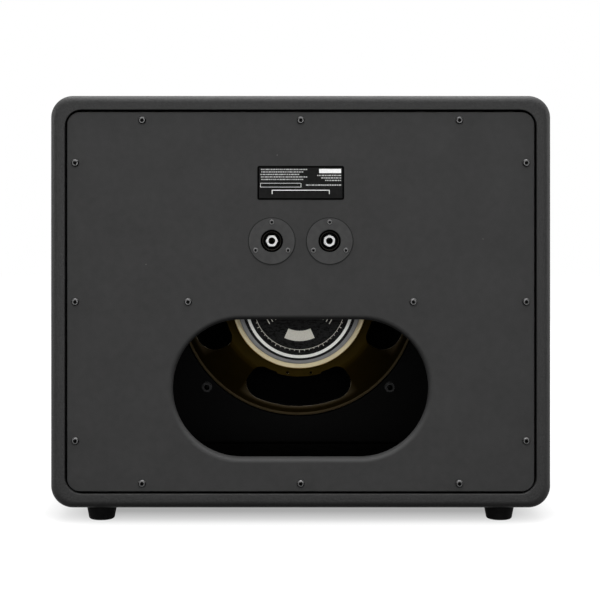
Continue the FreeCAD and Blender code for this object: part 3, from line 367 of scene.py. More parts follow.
class Look:
    """A principled material, with helpers that add textures measured in metres."""

    def __init__(self, name, color, roughness, specular, metallic=0.0):
        self.material = bpy.data.materials.new(name)
        self.material.use_nodes = True
        self.tree = self.material.node_tree
        self.shader = self.tree.nodes["Principled BSDF"]
        settings = {"Base Color": (*color, 1), "Roughness": roughness, "Specular IOR Level": specular,
                    "Metallic": metallic}
        for socket, value in settings.items():
            self.shader.inputs[socket].default_value = value
        self.place = self.node("TexCoord").outputs["Object"]
        self.normal = None

    def node(self, kind, inputs=None, **settings):
        return add_node(self.tree, kind, inputs, **settings)

    def ramp(self, value, stops):
        return add_ramp(self.tree, value, stops)

    def feed(self, socket, value):
        self.tree.links.new(value, self.shader.inputs[socket])

    def stretched(self, stretch):
        return self.node("Mapping", {"Vector": self.place, "Scale": stretch}).outputs[0]

    def noise(self, size, detail=2.0, roughness=0.5, place=None):
        """Soft noise with features of about the given size."""
        return self.node("TexNoise", {"Vector": place or self.place, "Scale": 1 / size, "Detail": detail,
                                      "Roughness": roughness}).outputs[0]

    def cells(self, size, feature="F1", place=None):
        """Distance to the middle of cells of about the given size."""
        return self.node("TexVoronoi", {"Vector": place or self.place, "Scale": 1 / size},
                         feature=feature).outputs["Distance"]

    def math(self, operation, first, second=0.0):
        return self.node("Math", {0: first, 1: second}, operation=operation).outputs[0]

    def between(self, value, start, end):
        """Zero where the value is at the start or before it, and one where it is at the end or past it."""
        return self.node("MapRange", {"Value": value, "From Min": start, "From Max": end}).outputs[0]

    def bump(self, height, depth, strength):
        """Adds a height to the surface's normal, over the heights added before."""
        inputs = {"Height": height, "Distance": depth, "Strength": strength}
        if self.normal:
            inputs["Normal"] = self.normal
        self.normal = self.node("Bump", inputs).outputs[0]
        self.feed("Normal", self.normal)

    def tones(self, dark, light, size, place=None):
        """A colour that wanders between two tones, in patches of about the given size."""
        return self.ramp(self.noise(size, 3.0, place=place), [(0.35, dark), (0.65, light)])

    def mottle(self, dark, light, size, place=None):
        self.feed("Base Color", self.tones(dark, light, size, place))

    def gloss(self, value, low, high):
        """Roughness that follows a texture value."""
        self.feed("Roughness", self.ramp(value, [(0.3, low), (0.7, high)]))

    def axis(self, name, source=None):
        return self.node("SeparateXYZ", {0: source or self.place}).outputs[name]

    def facing(self, name):
        """How far the surface faces along one axis of the part."""
        return self.axis(name, self.node("TexCoord").outputs["Normal"])

    def far_from(self, x, z):
        """Distance from a line along Y."""
        middle = self.node("VectorMath", {0: self.place, 1: (x, 0, z)}, operation="SUBTRACT").outputs[0]
        flat = self.node("VectorMath", {0: middle, 1: (1, 0, 1)}, operation="MULTIPLY").outputs[0]
        return self.node("VectorMath", {0: flat}, operation="LENGTH").outputs["Value"]

    def far_from_pair(self, first, second):
        """Distance from the nearer of two nodes' middle lines along Y."""
        return self.math("MINIMUM", self.far_from(*middle_of(first)), self.far_from(*middle_of(second)))

    def blend(self, share, first, second):
        """The first colour where the share is zero, and the second where it is one."""
        colors = {key: value if isinstance(value, bpy.types.NodeSocket) else (*value, 1)
                  for key, value in (("Color1", first), ("Color2", second))}
        return self.node("MixRGB", {"Fac": share, **colors}).outputs[0]


def vinyl_look():
    """Pebbled black vinyl with a satin sheen. A painted highlight makes it paler where it faces up, and
    painted shade makes it dark and dull where it faces down.
    """
    look = Look("black_vinyl", grey(0.012), 0.52, 0.18)
    drift = look.node("TexNoise", {"Vector": look.place, "Scale": vinyl_drift_scale}).outputs["Color"]
    warped = look.node("MixRGB", {"Fac": vinyl_drift, "Color1": look.place, "Color2": drift},
                       blend_type="ADD").outputs[0]
    grain = look.cells(1.7 * MM, "SMOOTH_F1", warped)
    fine = look.noise(0.5 * MM)
    patch = look.math("ADD", look.noise(5 * MM), look.noise(60 * MM))
    shade = look.math("ADD", grain, look.math("MULTIPLY", patch, 0.35))
    base = look.ramp(shade, [(0.35, 0.0145), (1.0, 0.0075)])
    # Painted highlight: a paler tone where the surface faces up.
    painted_highlight_tone = look.ramp(shade, [(0.35, 0.044), (1.0, 0.023)])
    tilt = look.facing("Z")
    with_painted_top_highlight = look.blend(look.between(tilt, 0.1, 0.8), base, painted_highlight_tone)
    # Painted shade: near black, and metallic so that it reflects almost nothing, where the surface faces
    # down.
    painted_underside_shade = look.between(tilt, -0.1, -0.7)
    look.feed("Base Color", look.blend(painted_underside_shade, with_painted_top_highlight, grey(0.003)))
    look.feed("Metallic", painted_underside_shade)
    look.gloss(fine, 0.44, 0.6)
    look.bump(look.math("MULTIPLY", grain, -1.0), 0.4 * MM, 0.55)
    look.bump(fine, 0.06 * MM, 0.35)
    return look.material


def panel_look():
    """Back panel: matt dark grey with a few dust specks. It has a painted highlight on up-facing surfaces
    such as the sill of the port, and painted shade on down-facing ones such as under its top edge.
    """
    look = Look("panel_finish", grey(0.027), 0.6, 0.1)
    grain = look.noise(0.8 * MM, 3.0, 0.65)
    patch = look.math("ADD", look.noise(8 * MM), look.noise(45 * MM, 3.0))
    tone = look.math("ADD", look.math("MULTIPLY", grain, 0.4), look.math("MULTIPLY", patch, 0.3))
    base = look.ramp(tone, [(0.35, 0.0228), (0.65, 0.0312)])
    speck = look.math("LESS_THAN", look.cells(16 * MM), 0.028)
    rare = look.math("GREATER_THAN", look.noise(22 * MM, 1.0), 0.6)
    dust = look.math("MULTIPLY", look.math("MULTIPLY", speck, rare), 0.35)
    dusty = look.blend(dust, base, (0.35, 0.35, 0.34))
    tilt = look.facing("Z")
    # Painted highlight where the surface faces up, and painted shade where it faces down.
    with_painted_sill_highlight = look.blend(look.between(tilt, 0.1, 0.6), dusty, grey(0.053))
    look.feed("Base Color", look.blend(look.between(tilt, -0.05, -0.6), with_painted_sill_highlight, grey(0.004)))
    look.bump(grain, 0.12 * MM, 0.5)
    return look.material


def dish_look():
    """Moulded plastic: a matt grey flange with a painted shadow round its outer edge. The well for the socket
    has painted shade, a little lighter on its slanted step, and is made metallic there so that it reflects
    almost nothing.
    """
    look = Look("dish_plastic", grey(0.046), 0.55, 0.06)
    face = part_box("right_jack_dish")[1].y
    grain = look.noise(0.35 * MM)
    flange = look.tones(0.038, 0.046, 6 * MM)
    # Painted shade in the well for the socket: near black, a little lighter on the slanted step, and metallic
    # so that it reflects almost nothing.
    below = look.math("LESS_THAN", look.axis("Y"), face - dish_well_depth)
    reach = look.far_from_pair("left_jack_dish", "right_jack_dish")
    # Painted shadow round the outer edge of the dish.
    with_painted_rim_shadow = look.blend(look.math("GREATER_THAN", reach, dish_painted_shadow_radius), flange, grey(0.014))
    outward = look.facing("Y")
    step = look.math("MULTIPLY", look.math("LESS_THAN", outward, 0.95),
                     look.math("GREATER_THAN", outward, 0.2))
    well = look.blend(step, grey(0.0012), (0.028, 0.025, 0.021))
    look.feed("Base Color", look.blend(below, with_painted_rim_shadow, well))
    look.feed("Metallic", below)
    look.gloss(grain, 0.47, 0.63)
    look.bump(grain, 0.04 * MM, 0.5)
    return look.material


def nickel_look():
    """Bright nickel plate with faint turning marks, and painted shade in the bore of each nut."""
    look = Look("jack_nickel", grey(0.3), 0.5, 0.5, 1.0)
    marks = look.noise(0.25 * MM, place=look.stretched((1, 5, 1)))
    plate = look.tones(0.27, 0.34, 3 * MM)
    reach = look.far_from_pair("left_jack_nut", "right_jack_nut")
    # Painted shade in the bore of each nut.
    painted_bore_shade = look.math("LESS_THAN", reach, jack_bore_radius)
    look.feed("Base Color", look.blend(painted_bore_shade, plate, grey(0.01)))
    look.gloss(marks, 0.44, 0.56)
    look.bump(marks, 0.01 * MM, 0.3)
    return look.material


def black_steel_look(name, screws=(), well=0.0, rim=0.0):
    """Black oxide steel, with a painted highlight where the head faces up, and painted shade in the recess
    and round the rest of the rim of each screw.

    Fasteners in the front half, behind the cloth, are dark all over, as painted shade.
    """
    look = Look(name, grey(0.02), 0.34, 0.6)
    head = look.ramp(look.noise(0.9 * MM, 3.0), [(0.4, 0.016), (0.75, 0.03)])
    tilt = look.facing("Z")
    shady_side = look.math("LESS_THAN", tilt, 0.3)
    # Painted shade: fasteners in the front half, behind the cloth, are near black and metallic all over.
    dark = look.math("LESS_THAN", look.axis("Y"), 0.0)
    half_rim = screw_rim_width / 2
    for x, z in screws:
        reach = look.far_from(x, z)
        # Painted shade in the recess, and round the rim of the head where it does not face up.
        painted_recess_shade = look.math("LESS_THAN", reach, well)
        edge = look.node("Math", {0: reach, 1: rim + half_rim, 2: half_rim}, operation="COMPARE").outputs[0]
        painted_rim_shade = look.math("MULTIPLY", edge, shady_side)
        dark = look.math("MAXIMUM", dark, look.math("MAXIMUM", painted_recess_shade, painted_rim_shade))
    # Painted highlight: a pale metallic tone where the head faces up.
    painted_head_highlight = look.math("GREATER_THAN", tilt, 0.45)
    tone = look.blend(painted_head_highlight, head, grey(0.15))
    look.feed("Base Color", look.blend(dark, tone, grey(0.0015)))
    look.feed("Metallic", look.math("MAXIMUM", dark, painted_head_highlight))
    look.gloss(look.noise(0.3 * MM), 0.28, 0.4)
    return look.material


def nut_look():
    """Black flange nuts, worn to a dull shine."""
    look = Look("nut_steel", grey(0.006), 0.4, 0.12)
    look.mottle(0.003, 0.009, 1.2 * MM)
    look.gloss(look.noise(0.3 * MM), 0.3, 0.45)
    return look.material


def rubber_look():
    """Moulded black rubber."""
    look = Look("foot_rubber", grey(0.002), 0.7, 0.03)
    look.mottle(0.0014, 0.003, 4 * MM)
    grain = look.noise(0.4 * MM)
    look.gloss(grain, 0.62, 0.78)
    look.bump(grain, 0.03 * MM, 0.5)
    return look.material


def film_look():
    """Black film of the rating plate, with a darker border."""
    look = Look("plate_foil", grey(0.008), 0.6, 0.0)
    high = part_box("rating_plate")[1]
    x, z = middle_of("rating_plate")
    place = look.node("VectorMath", {0: look.place, 1: (x, 0, z)}, operation="SUBTRACT").outputs[0]
    size = look.node("VectorMath", {0: place}, operation="ABSOLUTE").outputs[0]
    across = look.math("GREATER_THAN", look.axis("X", size), high.x - x - plate_border)
    along = look.math("GREATER_THAN", look.axis("Z", size), high.z - z - plate_border)
    field = look.tones(0.0105, 0.0135, 5 * MM)
    look.feed("Base Color", look.blend(look.math("MAXIMUM", across, along), field, grey(0.0015)))
    look.bump(look.noise(0.3 * MM), 0.01 * MM, 0.4)
    return look.material


def print_look(name, color):
    """Opaque ink, a little uneven."""
    look = Look(name, color, 0.6, 0.2)
    darker = tuple(part * 0.88 for part in color)
    look.mottle(darker, color, 1.5 * MM)
    return look.material


def magnet_look():
    """Ferrite ring under tan lacquer, with painted shade on its side."""
    look = Look("magnet_paint", (0.62, 0.52, 0.33), 0.5, 0.08)
    face = look.tones((0.73, 0.63, 0.41), (0.79, 0.69, 0.45), 9 * MM)
    # Painted shade: a darker orange-brown where the surface turns away from the back.
    side = look.math("LESS_THAN", look.facing("Y"), 0.75)
    look.feed("Base Color", look.blend(side, face, (0.34, 0.19, 0.035)))
    look.bump(look.noise(1.1 * MM, 3.0), 0.05 * MM, 0.5)
    return look.material


def zinc_look():
    """Zinc plated steel with a soft grain."""
    look = Look("plate_steel", grey(0.23), 0.5, 0.1)
    look.mottle(0.195, 0.22, 7 * MM)
    grain = look.noise(0.5 * MM, 3.0)
    look.gloss(grain, 0.4, 0.6)
    look.bump(grain, 0.02 * MM, 0.4)
    return look.material


def label_look():
    """Black label paper with a faint crackle."""
    look = Look("label_paper", grey(0.006), 0.6, 0.02)
    streak = look.noise(4 * MM, 4.0, 0.65, look.stretched((1, 1, 2.2)))
    look.feed("Base Color", look.ramp(streak, [(0.42, 0.004), (0.56, 0.017), (0.66, 0.006)]))
    return look.material


def basket_look():
    """Gold-bronze lacquer on pressed steel. It has a painted highlight on the ledge and along the rim of the
    windows, and pale cut edges, which are both bare metal and a painted highlight.
    """
    look = Look("gold_paint", (0.013, 0.007, 0.0006), 0.4, 0.02)
    look.shader.inputs["Specular Tint"].default_value = (1.0, 0.75, 0.3, 1)
    paint = look.tones((0.015, 0.0093, 0.0008), (0.0185, 0.0118, 0.0014), 25 * MM)
    reach = look.far_from(0, driver_z)
    # Painted highlight: a lighter tone on the ledge.
    ledge_painted_highlight = look.math("GREATER_THAN", reach, basket_ledge_radius)
    high = look.math("ABSOLUTE", look.math("SUBTRACT", look.axis("Z"), driver_z))
    wide = look.math("ABSOLUTE", look.axis("X"))
    beside = look.math("DIVIDE", look.math("MAXIMUM", high, wide), reach)
    # Painted highlight: a pale band along the rim of the windows.
    near = look.between(reach, basket_rim_outside, basket_rim_full)
    rim = look.math("MULTIPLY", near, look.math("MULTIPLY", look.between(beside, 0.84, 0.94), near))
    rim = look.math("MULTIPLY", rim, look.math("GREATER_THAN", reach, basket_rim_inside))
    # Cut edges: bare metal, made pale as a painted highlight too.
    cut = look.math("LESS_THAN", look.math("ABSOLUTE", look.facing("Y")), 0.06)
    bare_edge_and_highlight = look.math("MULTIPLY", cut, look.math("LESS_THAN", reach, basket_cut_radius))
    tone = look.blend(ledge_painted_highlight, paint, (0.05, 0.037, 0.02))
    tone = look.blend(rim, tone, (0.22, 0.165, 0.095))
    look.feed("Base Color", look.blend(bare_edge_and_highlight, tone, (0.85, 0.76, 0.6)))
    grain = look.noise(0.9 * MM)
    look.gloss(grain, 0.36, 0.5)
    look.bump(grain, 0.02 * MM, 0.5)
    return look.material


def sprayed_look():
    """Board sprayed matt black, with a fine stipple and no direction."""
    look = Look("black_board", grey(0.005), 0.85, 0.01)
    stipple = look.noise(0.7 * MM, 3.0, 0.6)
    look.feed("Base Color", look.ramp(stipple, [(0.35, 0.004), (0.65, 0.0062)]))
    look.bump(stipple, 0.1 * MM, 0.5)
    return look.material


def stained_wood_look(name, level, along, specular):
    """Black stained wood, with its grain along one axis."""
    look = Look(name, grey(level), 0.8, specular)
    stretch = tuple(0.06 if axis == along else 1 for axis in "xyz")
    grain = look.noise(1.4 * MM, 4.0, 0.6, look.stretched(stretch))
    look.feed("Base Color", look.ramp(grain, [(0.35, level * 0.7), (0.65, level * 1.4)]))
    look.bump(grain, 0.15 * MM, 0.5)
    return look.material


def cloth_look():
    """Plain woven grille cloth: round black threads with a lighter fleck on the crossing ones."""
    look = Look("grille_weave", grey(0.02), 0.75, 0.25)
    across = look.math("SINE", look.math("MULTIPLY", look.axis("X"), math.pi / thread_pitch))
    along = look.math("SINE", look.math("MULTIPLY", look.axis("Z"), math.pi / thread_pitch))
    crossing = look.math("MULTIPLY", across, along)
    warp = look.math("ADD", look.math("ABSOLUTE", across), crossing)
    weft = look.math("SUBTRACT", look.math("ABSOLUTE", along), crossing)
    height = look.math("MULTIPLY", look.math("MAXIMUM", warp, weft), 0.5)
    slub = look.noise(6 * MM, place=look.stretched((0.25, 1, 1)))
    fleck = look.math("MULTIPLY", look.math("GREATER_THAN", weft, warp), slub)
    tone = look.math("ADD", look.math("MULTIPLY", height, 0.6), look.math("MULTIPLY", fleck, 0.3))
    look.feed("Base Color", look.ramp(tone, [(0.1, 0.006), (0.45, 0.03), (0.8, 0.075)]))
    look.bump(height, 0.45 * MM, 0.8)
    return look.material


def woven_look(name, dark, light, pitch, roughness=0.7, specular=0.3):
    """Fine doped cloth."""
    look = Look(name, light, roughness, specular)
    threads = look.cells(pitch)
    look.feed("Base Color", look.ramp(threads, [(0.1, light), (0.8, dark)]))
    look.bump(look.math("MULTIPLY", threads, -1.0), 0.2 * MM, 0.5)
    return look.material


def paper_look(name, dark, light, specular=0.15):
    """Pressed paper pulp with short fibres."""
    look = Look(name, light, 0.85, specular)
    fibres = look.noise(1.6 * MM, 5.0, 0.7)
    look.feed("Base Color", look.ramp(fibres, [(0.35, dark), (0.7, light)]))
    look.bump(fibres, 0.12 * MM, 0.6)
    return look.material


def phenolic_look():
    """Brown phenolic board with faint layers."""
    look = Look("phenolic", (0.16, 0.08, 0.035), 0.45, 0.4)
    look.mottle((0.12, 0.055, 0.02), (0.2, 0.105, 0.05), 2.5 * MM, look.stretched((1, 6, 1)))
    look.bump(look.noise(0.4 * MM), 0.02 * MM, 0.4)
    return look.material


def metal_look(name, dark, light, roughness):
    """Plain metal strip with a slight tarnish."""
    look = Look(name, light, roughness, 0.5, 1.0)
    look.mottle(dark, light, 4 * MM)
    look.gloss(look.noise(0.5 * MM), roughness - 0.08, roughness + 0.1)
    return look.material


def wire_look(name, color):
    """Soft plastic wire jacket."""
    look = Look(name, color, 0.4, 0.4)
    darker = tuple(part * 0.7 for part in color)
    look.mottle(darker, color, 8 * MM)
    look.bump(look.noise(0.6 * MM), 0.02 * MM, 0.5)
    return look.material


def coil_look():
    """Fine copper turns under varnish."""
    look = Look("coil_copper", (0.5, 0.2, 0.08), 0.35, 0.5, 0.9)
    wave = look.math("SINE", look.math("MULTIPLY", look.axis("Y"), math.pi / coil_pitch))
    turns = look.math("ABSOLUTE", wave)
    look.feed("Base Color", look.ramp(turns, [(0.1, (0.2, 0.07, 0.03)), (0.6, (0.55, 0.24, 0.1))]))
    look.bump(turns, 0.1 * MM, 0.8)
    return look.material


def braid_look():
    """Braided tinsel wire."""
    look = Look("tinsel_copper", (0.5, 0.33, 0.15), 0.45, 0.5, 0.8)
    strands = look.cells(0.45 * MM)
    look.feed("Base Color", look.ramp(strands, [(0.1, (0.58, 0.4, 0.2)), (0.8, (0.2, 0.12, 0.05))]))
    look.bump(look.math("MULTIPLY", strands, -1.0), 0.2 * MM, 0.8)
    return look.material


LOOKS = {
    "black_vinyl": vinyl_look(),
    "panel_finish": panel_look(),
    "dish_plastic": dish_look(),
    "jack_nickel": nickel_look(),
    "black_screw_steel": black_steel_look("black_screw_steel"),
    "foot_rubber": rubber_look(),
    "plate_foil": film_look(),
    "magnet_paint": magnet_look(),
    "plate_steel": zinc_look(),
    "label_paper": label_look(),
    "gold_paint": basket_look(),
    "plywood": stained_wood_look("plywood", 0.006, "x", 0.02),
    "black_batten": stained_wood_look("black_batten", 0.0025, "x", 0.01),
    "black_board": sprayed_look(),
    "grille_weave": cloth_look(),
    "hook_and_loop": woven_look("hook_and_loop", grey(0.008), grey(0.02), 0.8 * MM, 0.9),
    "phenolic": phenolic_look(),
    "contact_brass": metal_look("contact_brass", (0.42, 0.33, 0.17), (0.62, 0.52, 0.3), 0.3),
    "red_wire": wire_look("red_wire", (0.35, 0.02, 0.02)),
    "black_wire": wire_look("black_wire", grey(0.015)),
    "gasket_card": paper_look("gasket_card", grey(0.03), grey(0.06)),
    "former_paper": paper_look("former_paper", (0.25, 0.15, 0.06), (0.4, 0.26, 0.12)),
    "coil_copper": coil_look(),
    "spider_cloth": woven_look("spider_cloth", (0.3, 0.2, 0.07), (0.55, 0.4, 0.17), 0.7 * MM),
    "cone_paper": paper_look("cone_paper", grey(0.0006), grey(0.002), 0.01),
    "surround_cloth": woven_look("surround_cloth", grey(0.002), grey(0.006), 0.8 * MM, 0.85, 0.03),
    "tinsel_copper": braid_look(),
}
NODE_LOOKS = {
    "speaker_nuts": nut_look(),
    "rear_panel_screws": black_steel_look("panel_screw_steel", axes_of("rear_panel_screws"),
                                          panel_screw_well, panel_screw_rim),
    "jack_dish_screws": black_steel_look("dish_screw_steel", axes_of("jack_dish_screws"),
                                         dish_screw_well, dish_screw_rim),
}
WHITE_INK = print_look("white_ink", grey(0.82))
RIM_INK = print_look("rim_ink", (0.94, 0.94, 0.9))
PALE_INK = print_look("pale_ink", grey(0.42))
CREAM_INK = print_look("cream_ink", (0.66, 0.64, 0.57))


def dress_nodes():
    """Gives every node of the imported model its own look, or that of its slot."""
    for part in frame["record"]["subparts"]:
        mesh = NODES[part["node"]].data
        mesh.materials.clear()
        mesh.materials.append(NODE_LOOKS.get(part["node"], LOOKS[part["material_slot"]]))


# Vinyl wrap

def wrap_profile(skin):
    """(inset, y) points of the wrap's section, from the front turn-in round the outside to the rear one."""
    low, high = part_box("vinyl_covering")
    front = low.y + skin
    rear = high.y - skin
    inner = wall - skin
    edge = edge_round - skin
    lip = lip_round - skin
    points = [(inner, low.y + front_turn_in)]
    points += arc((inner - lip, front + lip), lip, 0, -90, lip_steps)
    points += arc((skin + edge, front + edge), edge, 270, 180, edge_steps)
    points += [(skin, y) for y in spread(front + edge, rear - edge, depth_steps)[1:-1]]
    points += arc((skin + edge, rear - edge), edge, 180, 90, edge_steps)
    points += arc((inner - lip, rear - lip), lip, 90, 0, lip_steps)
    points.append((inner, high.y - rear_turn_in))
    return points


def vinyl_wrap():
    """The covering as one closed skin, very slightly uneven where it was glued by hand."""
    low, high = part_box("vinyl_covering")
    half_x = (high.x - low.x) / 2
    half_z = (high.z - low.z) / 2
    middle_z = (high.z + low.z) / 2
    section = [(inset, y, True) for inset, y in wrap_profile(0)]
    section += [(inset, y, False) for inset, y in wrap_profile(vinyl_thickness)[::-1]]
    points = []
    for inset, y, outside in section:
        radius = outer_corner + (opening_corner - outer_corner) * inset / wall
        ring = rounded_ring(half_x - inset, half_z - inset, radius, wrap_side_steps, wrap_corner_steps)
        for x, z in ring:
            point = Vector((x, y, middle_z + z))
            if outside and inset < wall - lip_round:
                point += Vector((x, 0, z)).normalized() * wrap_swell * noise.noise(point / wrap_swell_size)
            points.append(point)
    faces = grid_faces(len(section), len(points) // len(section), True, True)
    wrap = add_piece("vinyl_wrap", points, faces, LOOKS["black_vinyl"])
    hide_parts("vinyl_covering")


# Grille cloth

def grille_sheet():
    """Woven cloth stretched over the front of the grille frame and round its sides."""
    low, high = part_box("grille_cloth")
    half_x = (high.x - low.x) / 2
    half_z = (high.z - low.z) / 2
    middle_z = (high.z + low.z) / 2
    corner = opening_corner - cloth_gap
    bend = arc((cloth_round, low.y + cloth_round), cloth_round, 180, 270, cloth_corner_steps)
    border = [(0, high.y)] + bend + [(inset, low.y) for inset in cloth_border_insets]
    rings = []
    for inset, y in border:
        radius = max(corner - inset, cloth_least_corner)
        ring = rounded_ring(half_x - inset, half_z - inset, radius, cloth_side_steps, cloth_corner_steps)
        rings.append([Vector((x, y, middle_z + z)) for x, z in ring])
    face = rings[-1]
    centre = Vector((0, low.y, middle_z))
    for share in spread(cloth_first_share, cloth_last_share, cloth_rings):
        rings.append([centre + (point - centre) * share for point in face])
    columns = len(face)
    points = [point for ring in rings for point in ring] + [centre]
    faces = grid_faces(len(rings), columns, False, True)
    last = (len(rings) - 1) * columns
    faces += [(last + column, last + (column + 1) % columns, len(points) - 1) for column in range(columns)]
    for point in points:
        if point.y < low.y + cloth_round / 2:
            point.y += cloth_unevenness * (1 + noise.noise(point / cloth_unevenness_size))
    cloth = add_piece("grille_sheet", points, faces, LOOKS["grille_weave"])
    thicken = cloth.modifiers.new("sheet", "SOLIDIFY")
    thicken.thickness = cloth_sheet
    thicken.offset = -1
    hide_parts("grille_cloth")


# Driver, soft parts

def wave_profile(start, end, start_y, end_y, waves, height, flat_start, flat_end):
    """A corrugated middle line from start to end radius, with a flat stretch at each end."""
    points = [(start, start_y)]
    first = start + flat_start
    last = end - flat_end
    count = waves * wave_steps
    for step in range(count + 1):
        share = step / count
        level = start_y + (end_y - start_y) * share
        fade = min(1.0, wave_fade * share, wave_fade * (1 - share))
        swing = fade * height * math.sin(2 * math.pi * waves * share)
        points.append((first + (last - first) * share, level + swing))
    points.append((end, end_y))
    return points


def sheet_section(line, thickness):
    """A closed outline of even thickness about a middle line of (radius, y) points."""
    sides = ([], [])
    for index, (radius, y) in enumerate(line):
        before = line[max(index - 1, 0)]
        after = line[min(index + 1, len(line) - 1)]
        along = Vector((after[0] - before[0], after[1] - before[1])).normalized()
        normal = Vector((-along.y, along.x)) * thickness / 2
        sides[0].append((radius + normal.x, y + normal.y))
        sides[1].append((radius - normal.x, y - normal.y))
    return sides[0] + sides[1][::-1]


def flexible_ring(name, section, fixed_radius, moving_radius, slot, node):
    """A turned sheet that stretches between the cabinet and the cone as the cone travels."""
    points = turned_points(section)
    piece = add_piece(name, points, grid_faces(len(section), turn_steps, True, True), LOOKS[slot], None)
    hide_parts(node)
    low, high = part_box(node)
    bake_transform(piece, "cabinet", "cone_assembly", start=tuple(low), end=tuple(high))
    weights = piece.data.attributes["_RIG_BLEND"]
    for index, point in enumerate(points):
        radius = math.hypot(point.x, point.z - driver_z)
        share = (radius - fixed_radius) / (moving_radius - fixed_radius)
        share = min(1.0, max(0.0, share))
        weights.data[index].value = share * share * (3 - 2 * share)


def surround_piece():
    """The pleated, doped cloth edge of the cone."""
    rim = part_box("cone_surround")[1].x
    cone_low, cone_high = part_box("speaker_cone")
    inner = cone_high.x - surround_overlap
    inner_y = cone_low.y - surround_thickness / 2
    rim_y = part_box("speaker_basket")[0].y - surround_thickness / 2
    line = wave_profile(inner, rim, inner_y, rim_y, surround_waves, surround_wave_height,
                        surround_flat, surround_flat)
    flexible_ring("surround_edge", sheet_section(line, surround_thickness), rim - surround_flat,
                  inner + surround_flat, "surround_cloth", "cone_surround")


def spider_piece():
    """The corrugated, varnished cloth disc that centres the coil."""
    low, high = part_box("spider")
    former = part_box("voice_coil_former")[1].x
    level = (low.y + high.y) / 2 - spider_drop
    foot_y = high.y - spider_thickness / 2
    line = wave_profile(former + spider_gap, spider_wave_radius, level, level, spider_waves,
                        spider_wave_height, spider_inner_flat, spider_outer_flat)
    line += [(spider_foot_radius, foot_y), (high.x, foot_y)]
    flexible_ring("spider_disc", sheet_section(line, spider_thickness), spider_hold_radius,
                  former + spider_inner_flat, "spider_cloth", "spider")


def smooth_line(route):
    """Points along one smooth curve that has the route's points as its control points."""
    curve = bpy.data.curves.new("route", "CURVE")
    curve.dimensions = "3D"
    spline = curve.splines.new("NURBS")
    spline.points.add(len(route) - 1)
    for point, place in zip(spline.points, route):
        point.co = (*place, 1)
    spline.order_u = 3
    spline.use_endpoint_u = True
    spline.resolution_u = route_steps
    holder = bpy.data.objects.new("route", curve)
    line = bpy.data.meshes.new_from_object(holder)
    points = [vertex.co.copy() for vertex in line.vertices]
    bpy.data.objects.remove(holder)
    bpy.data.curves.remove(curve)
    bpy.data.meshes.remove(line)
    return points


def strand_points(line, strand):
    """Rings of points along one strand, which winds round the line beside the other strands."""
    points = []
    travelled = 0.0
    beside = Vector((1, 0, 0))
    for index, place in enumerate(line):
        before = line[max(index - 1, 0)]
        after = line[min(index + 1, len(line) - 1)]
        across = (after - before).normalized().cross(beside)
        travelled += (place - before).length
        turn = 2 * math.pi * (travelled / tinsel_lay + strand / tinsel_strands)
        centre = place + (beside * math.cos(turn) + across * math.sin(turn)) * strand_radius
        for side in range(tinsel_sides):
            angle = 2 * math.pi * side / tinsel_sides
            points.append(centre + (beside * math.cos(angle) + across * math.sin(angle)) * strand_radius)
    return points


def tinsel_piece():
    """Two limp braids of wound strands, which bend with the cone."""
    low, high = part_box("tinsel_leads")
    top_z = high.z - tinsel_radius
    end_y_share, end_z_share = tinsel_end_shares
    drop_y = low.y + end_y_share * tinsel_radius - high.y
    drop_z = low.z + end_z_share * tinsel_radius - top_z
    points = []
    faces = []
    for x in (low.x + tinsel_radius, high.x - tinsel_radius):
        line = smooth_line([(x, high.y + drop_y * along, top_z + drop_z * down)
                            for along, down in tinsel_route_shares])
        for strand in range(tinsel_strands):
            first = len(points)
            points += strand_points(line, strand)
            last = len(points) - tinsel_sides
            faces += [tuple(first + corner for corner in face)
                      for face in grid_faces(len(line), tinsel_sides, False, True)]
            faces.append(tuple(range(first, first + tinsel_sides)))
            faces.append(tuple(range(last + tinsel_sides - 1, last - 1, -1)))
    piece = add_piece("tinsel_braids", points, faces, LOOKS["tinsel_copper"], None)
    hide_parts("tinsel_leads")
    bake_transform(piece, "cabinet", "cone_assembly", start=(0, high.y, 0), end=(0, low.y, 0))


# Prints

